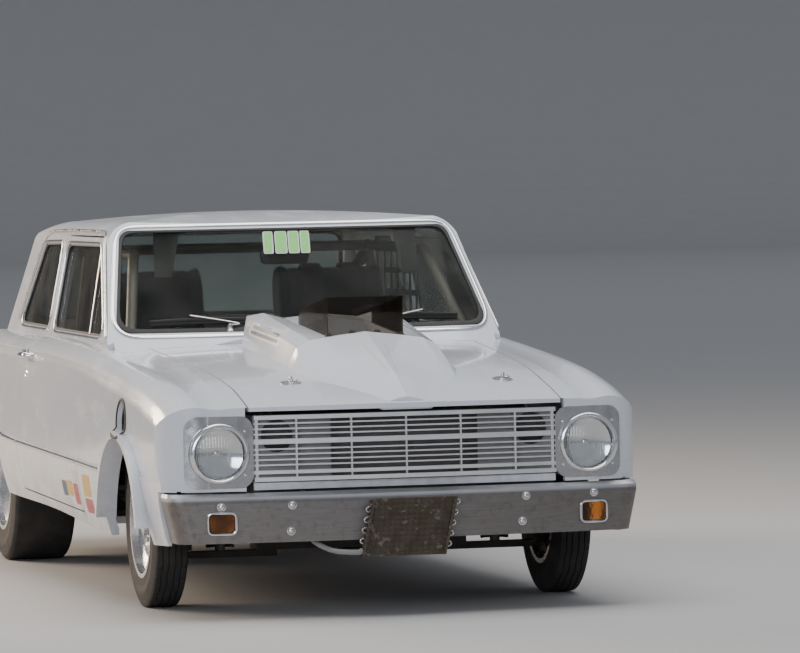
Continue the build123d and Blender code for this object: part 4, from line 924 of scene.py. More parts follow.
for side, sign in (("l", 1), ("r", -1)):
    centre = (sign * lamp_x, lamp_y, lamp_z)
    glass = made("lamp_glass_" + side, turned(glass_profile, centre, "y", 64), headlamp_glass)
    glass.visible_shadow = False
    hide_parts("lamp_lenses")
    made("lamp_bowl_" + side, turned(bowl_profile, centre, "y", 64), lamp_mirror)
    made("lamp_bulb_" + side, turned(bulb_profile, centre, "y", 24), chrome)
    made("lamp_ring_" + side, turned(ring_profile, centre, "y", 80), chrome)
    screw_places = np.stack([sign * lamp_x + screw_circle * np.cos(screw_angles),
                             lamp_z + screw_circle * np.sin(screw_angles)], 1)
    fastened("lamp_screws_" + side, [screw], bezel_tree, screw_places, "front", chrome)

# %% Indicator rims, tail lamp rings
indicator_x, indicator_z, tail_x, tail_z = 0.652, 0.330, 0.690, 0.660
reflector_profile = [(0, 0), (0.001, 0.020), (-0.003, 0.021), (-0.003, 0)]
for side, sign in (("l", 1), ("r", -1)):
    corners = [(sign * indicator_x + x, indicator_z + z) for x, z in rectangle(-0.047, 0.047, -0.036, 0.036)]
    places, _ = on_skin(skins["front_bumper"], spread(outline(corners, 0.014), 72, True), "front")
    made("indicator_rim_" + side, carried(slab(0.010, 0.015, 0.45), eased(places, 3, True), (0, -1, 0), True),
         chrome)
    places, _ = on_skin(rear_skin, ring(0.080, 64) + [sign * tail_x, tail_z], "rear")
    made("tail_ring_" + side, carried(slab(0.016, 0.014, 0.45), eased(places, 4, True), (0, 1, 0), True),
         chrome)
    made("tail_reflector_" + side, turned(reflector_profile, (sign * tail_x, back(3.778), tail_z), "y", 32),
         lens_glass)

# %% Bumper bolts, bonnet pins, deflector bolts
bolt = turned([(-0.002, 0), (-0.002, 0.015), (0.0015, 0.015), (0.002, 0.0115), (0.005, 0.0105),
               (0.008, 0.007), (0.009, 0)], steps=20)
bolt_places = np.array([(-652, 386), (-411, 387), (-417, 299), (409, 392), (394, 306),
                        (656, 395)]) * millimetre
rear_bolt_places = [(-0.42, 0.46), (0.42, 0.46), (-0.68, 0.46), (0.68, 0.46)]
fastened("bumper_bolts", [bolt], skins["front_bumper"], bolt_places, "front", chrome)
fastened("rear_bumper_bolts", [bolt], skin_tree("rear_bumper"), rear_bolt_places, "rear", chrome)
pin_plate = turned([(0, 0), (0, 0.036), (0.0015, 0.036), (0.0022, 0.034), (0.0022, 0.012), (0.004, 0.010),
                    (0.004, 0)], steps=40)
pin_stud = turned([(0, 0), (0, 0.0065), (0.020, 0.0065), (0.024, 0.004), (0.025, 0)], steps=18)
pin_hoop = carried(ring(0.0016, 8), smoothed([
    (-0.020, 0, 0.013), (0.012, 0, 0.013), (0.022, 0.010, 0.013), (0.012, 0.021, 0.012),
    (-0.014, 0.019, 0.012), (-0.020, 0.006, 0.013),
], 40), (0, 0, 1))
pin_places = [(-0.339, back(-0.479)), (0.408, back(-0.503))]
fastened("bonnet_pins", [pin_plate, pin_stud, pin_hoop], skins["bonnet"], pin_places, "top", old_chrome,
         "bonnet")
deflector_feet = [(x, back(-0.168)) for x in (-0.13, -0.045, 0.045, 0.13)]
fastened("deflector_bolts", [bolt], skins["bonnet"], deflector_feet, "top", black_steel, "bonnet")

# %% Ring around the fender's round hole
for side, look in (("l", "left"), ("r", "right")):
    strip_on("hole_ring_" + side, skins["fender_" + side], ring(0.078, 72) + [back(-0.018), 0.655], look,
             slab(0.010, 0.005, 0.4), seal_rubber, loop=True, ease=3)
print("lamps and fasteners made")

# %% [markdown]
# ## Tape and plain patches
# Four plain green blocks with pale edges sit at the top of the windscreen, and plain coloured patches
# lie on a door, a fender and the scoop. Each one is a thin closed sheet laid on the skin by rays.

# %% Tape blocks and patches
tape_low, tape_high, tape_lean = 1.222, 1.296, 0.006
tape_spans = ((-0.106, -0.076), (-0.062, -0.024), (-0.012, 0.022), (0.034, 0.062))
tape_layers = (("backing", pale_tape, 0.004, 0.0), ("block", green_tape, 0.0, 0.0012))
for k, (left_x, right_x) in enumerate(tape_spans):
    for layer, finish, grow, lift in tape_layers:
        corners = [(left_x - grow - tape_lean, tape_low - grow),
                   (right_x + grow - tape_lean, tape_low - grow),
                   (right_x + grow + tape_lean, tape_high + grow),
                   (left_x - grow + tape_lean, tape_high + grow)]
        patch_on("tape_%s_%d" % (layer, k), front_skin, corners, "front", finish, "body", 0.001, 10, 10, lift)
# Left, right, low and high side of each patch, as distances behind the front axle and heights
patch_rows = (
    ("patch_gold", "door_r", (905, 1015, 348, 404), gold_patch, "door_r"),
    ("patch_navy", "door_r", (1022, 1104, 344, 400), navy_patch, "door_r"),
    ("patch_red", "door_r", (800, 884, 322, 398), red_patch, "door_r"),
    ("patch_white", "door_r", (800, 884, 402, 446), pale_tape, "door_r"),
    ("patch_rose", "fender_r", (560, 690, 300, 352), red_patch, "body"),
    ("patch_amber", "fender_r", (560, 690, 360, 440), gold_patch, "body"),
)
for name, skin, sides, finish, body in patch_rows:
    patch_on(name, skins[skin], side_view(rectangle(*sides)), "right", finish, body)
scoop_rows = (
    ("scoop_panel", [(0.010, 0.900), (0.455, 0.934), (0.440, 0.984), (0.020, 0.948)], pale_tape, 0.0),
    ("scoop_bar_low", [(0.050, 0.912), (0.420, 0.940), (0.418, 0.952), (0.050, 0.924)], navy_patch, 0.0010),
    ("scoop_bar_high", [(0.070, 0.932), (0.400, 0.958), (0.398, 0.972), (0.070, 0.942)], grey_patch, 0.0010),
)
for name, corners, finish, lift in scoop_rows:
    corners = [(back(y), z) for y, z in corners]
    patch_on(name, skins["bonnet"], corners, "right", finish, "bonnet", rows=14, columns=6, lift=lift)
print("tape and patches laid")

# %% [markdown]
# ## Tyres
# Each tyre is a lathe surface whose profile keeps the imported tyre's outline: bead, side wall with its
# rings, shoulder and tread. The narrow front tyres have ribs, grooves and fine cuts, and the wide
# rear ones are smooth slicks.

# %% Tyre surfaces
wheel_columns = ("name", "x", "y", "radius", "section", "tread", "rim_radius", "rim_half", "grooves", "cuts")
wheel_rows = (
    ("fl", 0.724, 0.0, 0.287, 0.132, 0.112, 0.172, 0.057, (-0.033, -0.012, 0.012, 0.033), 72),
    ("fr", -0.724, 0.0, 0.287, 0.132, 0.112, 0.172, 0.057, (-0.033, -0.012, 0.012, 0.033), 72),
    ("rl", 0.678, 2.781, 0.330, 0.258, 0.228, 0.197, 0.118, (), 0),
    ("rr", -0.678, 2.781, 0.330, 0.258, 0.228, 0.197, 0.118, (), 0),
)
bead_gap = 0.0003
tread_depth, groove_depth, cut_depth = 0.006, 0.005, 0.0022


def tyre_side(row):
    """Half profile (half width, radius) from the bead to the tread's edge, with raised rings on the wall."""
    half, tread = row["section"] / 2, row["tread"] / 2 - 0.004
    seat, top = row["rim_radius"] + bead_gap, row["radius"]
    middle = (seat + top) / 2 + 0.004
    bend = smoothed([
        (row["rim_half"] - 0.004, seat), (row["rim_half"] + 0.002, seat + 0.010),
        (half - 0.004, middle - 0.018), (half - 0.001, middle), (half - 0.003, middle + 0.016),
        (half - 0.007, top - 0.018), (tread + 0.001, top - 0.003), (tread - 0.004, top - 0.0004),
    ], 46)
    step = np.gradient(bend, axis=0)
    step /= np.linalg.norm(step, axis=1, keepdims=True)
    outward = np.stack([step[:, 1], -step[:, 0]], 1)
    height = (bend[:, 1] - seat) / (top - seat)
    wall_rings = ((0.16, 0.0014), (0.34, -0.0010), (0.62, 0.0008), (0.80, -0.0012))
    rings = sum(np.exp(-((height - h) / 0.018) ** 2) * d for h, d in wall_rings)
    return bend + outward * (rings - 0.0008)[:, None]


def tyre_shape(row):
    """Tyre about the X axis: radius falls by the groove depth where a point lies in a groove or a cut."""
    side = tyre_side(row)
    edge = side[-1, 0]
    across = np.linspace(edge, -edge, 62 if row["grooves"] else 24)[1:-1]
    crown = row["radius"] - 0.0004 - 0.0012 * (across / edge) ** 2
    profile = np.concatenate([side, np.stack([across, crown], 1), side[::-1] * [-1, 1]])
    seat = row["rim_radius"] + bead_gap
    inner = np.array([[-row["rim_half"] + 0.004, seat], [row["rim_half"] - 0.004, seat]])
    profile = np.concatenate([profile, inner])
    steps = row["cuts"] * 6 if row["cuts"] else 144
    angle = np.linspace(0, 2 * np.pi, steps, endpoint=False)
    x = np.broadcast_to(profile[:, 0], (steps, len(profile)))
    radius = np.broadcast_to(profile[:, 1], (steps, len(profile))).copy()
    on_tread = radius > row["radius"] - tread_depth
    for groove in row["grooves"]:
        lane = 0.0015 * np.sin(18 * angle)[:, None]
        radius -= groove_depth * np.exp(-((x - groove - lane) / 0.0022) ** 4) * on_tread
    if row["cuts"]:
        slant = np.abs(x) / 0.05
        phase = (angle[:, None] * row["cuts"] / (2 * np.pi) + 0.35 * slant) % 1
        rib = np.abs(x) > min(abs(g) for g in row["grooves"]) + 0.0035
        radius -= cut_depth * (phase < 0.17) * on_tread * rib
    points = np.stack([x, radius * np.cos(angle)[:, None], radius * np.sin(angle)[:, None]], -1)
    points = points + [row["x"], back(row["y"]), row["radius"]]
    return points.reshape(-1, 3), quads(steps, len(profile), True, True).tolist()


valve_profile = [(-0.004, 0), (-0.004, 0.0055), (0.003, 0.0055), (0.006, 0.0035), (0.022, 0.0032),
                 (0.023, 0.0045), (0.031, 0.0042), (0.032, 0)]
for values in wheel_rows:
    row = dict(zip(wheel_columns, values))
    tread = made("tread_" + row["name"], tyre_shape(row), tyre_rubber, "wheel_" + row["name"], 40)
    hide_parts("tyre_" + row["name"])
    sign = 1 if row["x"] > 0 else -1
    stem = [(row["x"] + sign * (row["rim_half"] - 0.030), back(row["y"]),
             row["radius"] + row["rim_radius"] - 0.022)]
    made("valve_" + row["name"], repeated(turned(valve_profile, steps=14),
                                          turns(stem, (sign * 0.9, 0, -0.45))),
         seal_rubber, "wheel_" + row["name"])
    print("tyre", row["name"], len(tread.data.polygons), "faces")

# %% [markdown]
# ## Cabin
# The inside is plain and dark: a ribbed roof lining, door cards with a pad and a winder, a carpet
# over the tunnel, a shelf below the rear window and a bulkhead ahead of the boot. Linings are grids
# dropped onto the solids from the inside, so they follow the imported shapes.

# %% Linings


def lining(name, tree, u, v, place, look, thick, finish, body="body", bulge=0.0, flatten=False):
    """Closed sheet over a grid: the skin met by a ray from each grid point, and the same moved inwards."""
    a, b = np.meshgrid(u, v, indexing="ij")
    direction = Vector(looks[look])
    under = []
    for p, q in zip(a.ravel(), b.ravel()):
        origin = Vector(place(p, q))
        hit = tree.ray_cast(origin, direction)[0]
        under.append(np.array(hit if hit is not None else origin))
    grid = np.array(under).reshape(len(u), len(v), 3)
    for _ in range(2 if flatten else 0):
        grid[1:-1, 1:-1] = (grid[:-2, 1:-1] + grid[2:, 1:-1] + grid[1:-1, :-2] + grid[1:-1, 2:]
                            + 2 * grid[1:-1, 1:-1]) / 6
    under = grid.reshape(-1, 3)
    over = under - np.array(direction) * (thick + np.broadcast_to(bulge, a.shape).ravel()[:, None])
    return made(name, sheet(under, over, len(u), len(v)), finish, body)


roof_u, roof_v = np.linspace(-0.50, 0.50, 33), np.linspace(1.060, 2.36, 90)
rib_start, rib_pitch = 1.03, 0.27
ribs = 0.010 * (1 - np.abs(np.sin((roof_v - rib_start) / rib_pitch * np.pi)) ** 6)[None, :] - 0.004
lining("roof_lining", skins["body_shell"], roof_u, roof_v, lambda x, d: (x, back(d), 1.15), "up", 0.006,
       lining_cloth, bulge=np.abs(ribs), flatten=True)
carpet_u, carpet_v = np.linspace(-0.655, 0.655, 90), np.linspace(0.80, 2.08, 50)
lining("carpet", skin_tree("under_body"), carpet_u, carpet_v, lambda x, d: (x, back(d), 0.62), "top", 0.0045,
       carpet_pile)
card_y, card_z = np.linspace(0.86, 1.90, 60), np.linspace(0.435, 0.885, 34)
pad_y = np.exp(-((np.abs(card_y - 1.38)[:, None] / 0.44) ** 12))
pad_z = np.exp(-((np.abs(card_z - 0.60)[None, :] / 0.11) ** 10))
pleats = 0.006 * pad_y * pad_z * (1 + 0.5 * np.cos(card_y / 0.045 * 2 * np.pi)[:, None])
winder_hub = ((-0.012, 0), (-0.012, 0.017), (0.004, 0.017), (0.008, 0.012), (0.008, 0))
winder_knob = [(0, 0), (0, 0.010), (0.012, 0.013), (0.024, 0.009), (0.026, 0)]
for side, look, sign in (("l", "in_left", 1), ("r", "in_right", -1)):
    door = "door_" + side
    lining("door_card_" + side, skins[door], card_y, card_z, lambda d, z: (sign * 0.45, back(d), z),
           look, 0.006, trim_plastic, door, pleats)
    rest = np.stack([np.full(20, sign * 0.668), back(np.linspace(1.22, 1.62, 20)),
                     0.72 + 0.012 * np.sin(np.linspace(0, np.pi, 20))], 1)
    pad = made("arm_rest_" + side, carried(slab(0.034, 0.030, 0.8, 6), smoothed(rest, 40), (0, 0, 1)),
               dash_plastic, door)
    crank = np.array([sign * 0.672, back(1.06), 0.66])
    knob = crank + [-sign * 0.018 - (0.026 if sign > 0 else 0), 0.10, -0.045]
    arm = [crank - [sign * 0.004, 0, 0], crank + [-sign * 0.014, 0.04, -0.02],
           crank + [-sign * 0.018, 0.10, -0.045]]
    made("window_winder_" + side, joined([
        turned([(sign * along, radius) for along, radius in winder_hub], crank, "x", 22),
        carried(slab(0.014, 0.006, 0.4), smoothed(arm, 18), (1, 0, 0)),
        turned(winder_knob, knob, "x", 18),
    ]), chrome, door)

# %% Rear shelf and boot bulkhead
a, b = np.meshgrid(np.linspace(-0.55, 0.55, 20), np.linspace(2.32, 2.86, 14), indexing="ij")
shelf_face = np.stack([a, back(b), 0.868 + 0 * a], -1).reshape(-1, 3)
made("rear_shelf", sheet(shelf_face, shelf_face + [0, 0, 0.010], *a.shape), carpet_pile)
a, b = np.meshgrid(np.linspace(-0.50, 0.50, 30), np.linspace(0.0, 1.0, 16), indexing="ij")
swage = 0.006 * np.exp(-((np.abs(((a + 0.5) * 4) % 1 - 0.5) / 0.35) ** 8))
wall_face = np.stack([a, back(2.318 - 0.02 * b) - swage, 0.486 + 0.386 * b], -1).reshape(-1, 3)
made("boot_bulkhead", sheet(wall_face, wall_face + [0, 0.004, 0], *a.shape), grey_steel)
print("linings made")

# %% [markdown]
# ## Seats and belts
# A seat is a side outline carried across its width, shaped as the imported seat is. It shrinks towards
# each side like a stuffed cover does, side bolsters rise, and seams sink a few millimetres between
# the pleats. Belts are flat webbing that lies on the padding.

# %% Padded seats


def front_weight(loop):
    """1 on the parts of an outline that face forwards or up, 0 on the back and the foot."""
    d = loop - loop.mean(0)
    return 1 / (1 + np.exp((d[:, 0] - d[:, 1] * 0.9) / 0.035))


def stuffed(outline_yz, middle_x, half, pleats, bolster, depth=0.008, columns=61):
    """Outline carried across: scale 1 - 0.16 |u|^9, a bolster near each side, seams by a cosine."""
    u = np.linspace(-1, 1, columns)
    loop = np.asarray(outline_yz, float)
    centre = loop.mean(0)
    step = np.roll(loop, -1, 0) - np.roll(loop, 1, 0)
    step /= np.linalg.norm(step, axis=1, keepdims=True)
    out = np.stack([step[:, 1], -step[:, 0]], 1)
    if np.sum((loop - centre) * out) < 0:
        out = -out
    scale = 1 - 0.16 * np.abs(u) ** 9
    seam = -depth * np.abs(np.cos(pleats * np.pi * (u + 1) / 2)) ** 14 * (np.abs(u) < 0.72)
    rise = bolster * np.exp(-((np.abs(u) - 0.80) / 0.17) ** 2)
    lift = (seam + rise)[:, None]
    flat = centre + (loop - centre)[None] * scale[:, None, None]
    flat = flat + out[None] * lift[..., None] * front_weight(loop)[None, :, None]
    x = middle_x + half * np.sin(u * np.pi / 2) * (0.9 + 0.1 * np.abs(u))
    points = np.concatenate([np.broadcast_to(x[:, None, None], flat.shape[:2] + (1,)), flat], 2)
    return points.reshape(-1, 3), tube(*flat.shape[:2])


back_line = smoothed(side_view([
    (1800, 500), (1845, 700), (1868, 900), (1892, 1070), (1925, 1138), (1962, 1146), (2004, 1118),
    (1984, 950), (1948, 650), (1925, 470), (1860, 446),
]), 110, True)
cushion_line = smoothed(side_view([
    (1334, 470), (1342, 530), (1380, 562), (1480, 570), (1640, 552), (1800, 528), (1880, 520),
    (1896, 470), (1800, 444), (1560, 441), (1380, 441),
]), 90, True)
seat_x, seat_half, seat_pleats = 0.360, 0.212, 5
for side, sign in (("l", 1), ("r", -1)):
    middle = sign * seat_x
    rest = made("seat_back_" + side, stuffed(back_line, middle, seat_half, seat_pleats, 0.016), seat_cloth,
                smooth=60)
    cushion = made("seat_cushion_" + side, stuffed(cushion_line, middle, seat_half, seat_pleats, 0.014),
                   seat_cloth, smooth=60)
    for piece in (rest, cushion):
        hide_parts("seat_" + side)
    made("seat_base_" + side, case(0.17, -0.040, 0.040, 0.012, [(-0.200, 1.0), (0.230, 1.0)],
                                   (middle, back(1.59), 0.402)), black_steel)
    # Side welts: a cord sewn along the cover's edge
    for edge in (-1, 1):
        welt = np.concatenate([np.full((len(back_line), 1), middle + edge * 0.190), back_line], 1)
        made("seat_welt_%s_%s" % (side, "in" if edge * sign < 0 else "out"),
             carried(ring(0.0032, 8), welt, (1, 0, 0), True), seal_rubber)
print("seats made")

# %% Belts and shifter
driver = seat_x
# Share of the sideways offset, distance behind the front axle, height
shoulder_rows = (
    (0.9, 1.872, 0.62), (1, 1.852, 0.78), (1, 1.866, 0.95), (1, 1.885, 1.09), (1, 1.922, 1.152),
    (1, 1.975, 1.150), (1.1, 2.030, 1.060), (1.2, 2.066, 0.900), (1.2, 2.070, 0.866),
)
lap_rows = ((0.235, 1.80, 0.42), (0.20, 1.76, 0.56), (0.08, 1.72, 0.575))
upright_belt = slab(0.074, 0.003, 0.3)[:, ::-1]
for k, offset in enumerate((-0.075, 0.075)):
    path = smoothed([(driver + offset * share, back(d), z) for share, d, z in shoulder_rows], 60)
    made("shoulder_belt_%d" % k, carried(upright_belt, path + [0, -0.012, 0.006], (1, 0, 0)), webbing)
lap = smoothed([(driver - x, back(d), z) for x, d, z in lap_rows]
               + [(driver + x, back(d), z) for x, d, z in lap_rows[::-1]], 50)
made("lap_belt", carried(slab(0.060, 0.003, 0.3), lap, (0, -0.4, 1)), webbing)
buckle = turned([(0, 0), (0, 0.030), (0.006, 0.032), (0.012, 0.028), (0.014, 0.012), (0.014, 0)], steps=32)
made("belt_buckle", repeated(buckle, turns([(driver, back(1.72), 0.582)], [(0, -0.35, 1)])), old_chrome)
shift_foot = np.array([0.02, back(1.16), 0.434])
lever = shift_foot + np.array([[0, 0, 0.055], [0, 0.01, 0.15], [0, 0.05, 0.27]])
release = shift_foot + np.array([[0.02, 0.045, 0.05], [0.02, 0.06, 0.16], [0.008, 0.07, 0.24]])
knob_profile = [(-0.02, 0), (-0.019, 0.012), (-0.008, 0.021), (0.008, 0.021), (0.019, 0.012), (0.02, 0)]
made("shifter", joined([
    case(0.055, -0.030, 0.030, 0.008, [(-0.13, 0.94), (-0.12, 1.0), (0.12, 1.0), (0.13, 0.94)],
         shift_foot + [0, 0, 0.030]),
    carried(ring(0.007, 12), smoothed(lever, 24), (1, 0, 0)),
    turned(knob_profile, shift_foot + [0, 0.052, 0.285], "z", 24),
    carried(ring(0.005, 10), smoothed(release, 20), (1, 0, 0)),
]), black_steel)

# %% Gauges
# Middle x and z, radius and number of ticks of each gauge
gauge_rows = (
    (0.360, 0.800, 0.052, 20), (0.245, 0.796, 0.030, 10), (0.475, 0.796, 0.030, 10),
    (0.05, 0.775, 0.032, 10), (-0.04, 0.775, 0.032, 10), (-0.13, 0.775, 0.032, 10),
)
rim_rows = ((-0.002, -0.004), (0.006, -0.002), (0.010, 0.002), (0.008, 0.006), (-0.004, 0.007),
            (-0.004, -0.004), (-0.002, -0.004))
box_faces = [[0, 1, 2, 3], [7, 6, 5, 4]] + [[i, 4 + i, 4 + (i + 1) % 4, (i + 1) % 4] for i in range(4)]
long_tick, short_tick, tick_end, tick_half, tick_thick = 0.20, 0.11, 0.86, 0.0009, 0.0007
dash_tree = skin_tree("dash")
for k, (x, z, radius, ticks) in enumerate(gauge_rows):
    place = np.array(dash_tree.ray_cast(Vector((x, back(1.3), z)), Vector((0, -1, 0)))[0])
    made("gauge_rim_%d" % k, turned([(along, radius + more) for along, more in rim_rows], place, "y", 48),
         chrome)
    disc = [(-0.003, 0), (-0.003, radius), (0.001, radius), (0.001, 0)]
    made("gauge_face_%d" % k, turned(disc, place, "y", 40), gauge_black)
    marks = []
    for t, angle in enumerate(np.radians(np.linspace(-135, 135, ticks + 1))):
        size = short_tick if t % 5 else long_tick
        c, s = math.cos(angle), math.sin(angle)
        radial, tangent = np.array([-s, 0, c]), np.array([c, 0, s])
        foot = place + [0, 0.0012, 0] + radial * radius * (tick_end - size)
        half, length = tangent * tick_half, radial * radius * size
        flat = np.array([foot - half, foot + half, foot + half + length, foot - half + length])
        marks.append((np.concatenate([flat, flat + [0, tick_thick, 0]]), box_faces))
    made("gauge_marks_%d" % k, joined(marks), pale_tape)
    tip = place + [-radius * 0.45, 0.0030, radius * 0.50]
    made("gauge_hand_%d" % k, joined([
        carried(slab(0.0022, 0.0010, 0.4), np.linspace(place + [0, 0.0026, 0], tip, 6), (0, 1, 0)),
        turned([(0.001, 0), (0.001, 0.005), (0.005, 0.004), (0.005, 0)], place, "y", 16),
    ]), orange_tip)
print("belts, shifter and gauges made")

# %% [markdown]
# ## Under the bonnet and under the car
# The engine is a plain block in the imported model. The parts that show on it are added here: finned
# valve covers, a fan with its belt, hoses, plug leads, header pipes, springs and dampers. Pipes are
# round profiles carried along smoothed lines.

# %% Engine dress


def pipe(points, radius, count=30, sides=14, up=(0.3, 0.2, 1)):
    """Round pipe through (x, distance behind the front axle, z) points given in millimetres."""
    p = np.asarray(points, float) * millimetre
    p[:, 1] = back(p[:, 1])
    return carried(ring(radius * millimetre, sides), smoothed(p, count), up)


def coil(foot, head, radius, wire, rounds, count=200):
    """Coil spring: a circle that climbs from foot to head, its ends flat."""
    t = np.linspace(0, 1, count)
    climb = np.clip((t - 0.06) / 0.88, 0, 1)
    angle = 2 * np.pi * rounds * t
    axis = np.asarray(head, float) - np.asarray(foot, float)
    circle = radius * np.stack([np.cos(angle), np.sin(angle), 0 * t], 1)
    points = np.asarray(foot, float) + climb[:, None] * axis + circle
    return carried(ring(wire, 10), points, (0, 0, 1))


cover_half = [(0.062, 0), (0.062, 0.016), (0.050, 0.044), (0.022, 0.054)]
cover_profile = smoothed([(-x, z) for x, z in cover_half] + cover_half[::-1], 34)
cover_x, spring_x = 0.190, 0.500
cover_screw = turned([(-0.008, 0), (-0.008, 0.006), (0.002, 0.006), (0.005, 0.004), (0.005, 0)], steps=12)
damper_profile = [(0.17, 0), (0.17, 0.018), (0.40, 0.018), (0.402, 0.009), (0.60, 0.008), (0.60, 0)]
brake_rows = ((300, 760, 322), (300, 1400, 332), (300, 2050, 340), (250, 2200, 420), (240, 2650, 440),
              (250, 2740, 376))
for side, sign in (("l", 1), ("r", -1)):
    run = np.array([[sign * cover_x, back(d), 0.6902] for d in np.linspace(-0.140, 0.450, 12)])
    fins = [carried(slab(0.004, 0.008, 0.4), run[1:-1] + [x, 0, 0.0515], (0, 0, 1))
            for x in np.linspace(-0.030, 0.030, 6)]
    made("valve_cover_" + side, joined([carried(cover_profile, run, (0, 0, 1))] + fins), alloy)
    screws = [(sign * cover_x + dx, back(d), 0.698) for dx in (-0.066, 0.066)
              for d in (-0.10, 0.05, 0.25, 0.41)]
    made("cover_screws_" + side, repeated(cover_screw, shifts(screws)), chrome)
    headers = [pipe([
        (sign * 281, d, 590), (sign * 322, d + 8, 578), (sign * 338, d + 40 + k * 14, 500),
        (sign * 330, 400 + k * 14, 380), (sign * 288, 470 + k * 6, 300), (sign * 240, 478 + k * 6, 284),
    ], 17, 40) for k, d in enumerate((-90, 60, 220, 370))]
    made("header_pipes_" + side, joined(headers), pipe_steel)
    leads = [pipe([
        (0, 440, 742), (sign * 40, 430, 776), (sign * 120, d + 40, 772), (sign * 262, d + 10, 742),
        (sign * 282, d + 26, 664),
    ], 3.6, 34, 8) for d in (-80, 75, 235, 385)]
    made("plug_leads_" + side, joined(leads), red_patch)
    foot, head = (sign * spring_x, back(0.0), 0.205), (sign * spring_x, back(0.0), 0.560)
    made("front_spring_" + side, coil(foot, head, 0.046, 0.0062, 7.5), black_steel)
    made("front_damper_" + side, turned(damper_profile, (foot[0], foot[1], 0), "z", 24), grey_steel)
    made("rear_damper_" + side, joined([
        pipe([(sign * 400, 2850, 262), (sign * 392, 2862, 400)], 24, 6, 20),
        pipe([(sign * 392, 2862, 400), (sign * 388, 2868, 469)], 16, 6, 16),
    ]), grey_steel)
    made("brake_line_" + side, pipe([(sign * x, d, z) for x, d, z in brake_rows], 3, 60, 8), old_chrome)
cap_circle = [(0.030 * math.cos(a), back(0.44) + 0.030 * math.sin(a), 0.750)
              for a in np.linspace(0, 2 * np.pi, 8, endpoint=False)]
made("distributor", joined([
    turned([(0.690, 0), (0.690, 0.026), (0.720, 0.026), (0.724, 0.044), (0.742, 0.044), (0.756, 0.030),
            (0.758, 0)], (0, back(0.44), 0), "z", 28),
    repeated(turned([(0, 0), (0, 0.006), (0.014, 0.005), (0.014, 0)], steps=10), shifts(cap_circle)),
]), hose_rubber)
made("top_hose", pipe([
    (150, -592, 650), (150, -540, 662), (130, -420, 700), (100, -280, 712), (90, -180, 706), (90, -130, 700),
], 19, 50, 18), hose_rubber)
made("bottom_hose", pipe([
    (-170, -592, 380), (-170, -520, 372), (-190, -400, 330), (-190, -260, 350), (-180, -172, 380),
], 20, 40, 18), hose_rubber)

# %% Fan, belt, pulleys and carburettor
fan_y, fan_z, belt_y = back(-0.520), 0.505, back(-0.195)
blade = np.array([[0.045, -0.014, -0.010], [0.190, -0.030, -0.016], [0.195, 0.028, 0.014],
                  [0.045, 0.014, 0.010]])
blade = np.concatenate([blade, blade + [0, 0, 0.0025]])
blade_faces = [[0, 3, 2, 1], [4, 5, 6, 7], [0, 1, 5, 4], [1, 2, 6, 5], [2, 3, 7, 6], [3, 0, 4, 7]]
fan_matrices = np.array([
    [[math.cos(a), -math.sin(a), 0, 0], [0, 0, 1, fan_y], [math.sin(a), math.cos(a), 0, fan_z], [0, 0, 0, 1]]
    for a in np.linspace(0, 2 * np.pi, 6, endpoint=False)])
fan_hub = [(-0.012, 0), (-0.012, 0.030), (0.000, 0.052), (0.010, 0.052), (0.012, 0.030), (0.350, 0.028),
           (0.350, 0)]
made("fan", joined([repeated((blade, blade_faces), fan_matrices),
                    turned(fan_hub, (0, fan_y, fan_z), "y", 36)]),
     old_chrome)
belt = spread(outline([(-0.13, 0.33), (0.13, 0.33), (0.05, 0.555), (-0.05, 0.555)], 0.045), 90, True)
belt_profile = [(-0.006, -0.004), (0.006, -0.004), (0.008, 0.004), (-0.008, 0.004)]
belt_path = np.stack([belt[:, 0], np.full(len(belt), belt_y), belt[:, 1]], 1)
made("fan_belt", carried(belt_profile, belt_path, (0, 1, 0), True), hose_rubber)
pulley_rows = ((0.0, 0.505, 0.047), (0.088, 0.372, 0.042), (-0.088, 0.372, 0.042))
pulleys = [turned([
    (-0.010, 0), (-0.010, r + 0.006), (-0.004, r - 0.004), (0.004, r - 0.004), (0.010, r + 0.006),
    (0.010, 0.02), (0.026, 0.02), (0.026, 0),
], (x, belt_y, z), "y", 36) for x, z, r in pulley_rows]
made("pulleys", joined(pulleys), alloy)
made("carburettor", joined([
    case(0.074, 0.850, 0.862, 0.003, [(-0.065, 1.0), (0.245, 1.0)], (0, back(0.0), 0)),
    pipe([(71, 40, 760), (110, 20, 750), (150, -60, 730), (160, -140, 700)], 6, 26, 10),
    pipe([(-71, 140, 760), (-104, 150, 752), (-112, 250, 742), (-100, 380, 740)], 5, 26, 10),
]), alloy)

# %% Hose of the oil cooler
made("cooler_hose", pipe([
    (-168, -824, 222), (-222, -822, 222), (-280, -782, 230), (-336, -738, 268), (-350, -700, 340),
    (-350, -690, 420), (-350, -662, 420),
], 9, 60, 14), hose_braid)
fitting = turned([(0, 0), (0, 0.012), (0.018, 0.012), (0.020, 0.0105), (0.030, 0.0105), (0.030, 0)], steps=6)
hose_ends = [(-0.160, back(-0.824), 0.222), (-0.350, back(-0.662), 0.420)]
made("hose_fittings", repeated(fitting, turns(hose_ends, [(-1, 0, 0), (0, -1, 0)])), navy_patch)
print("engine dress made")

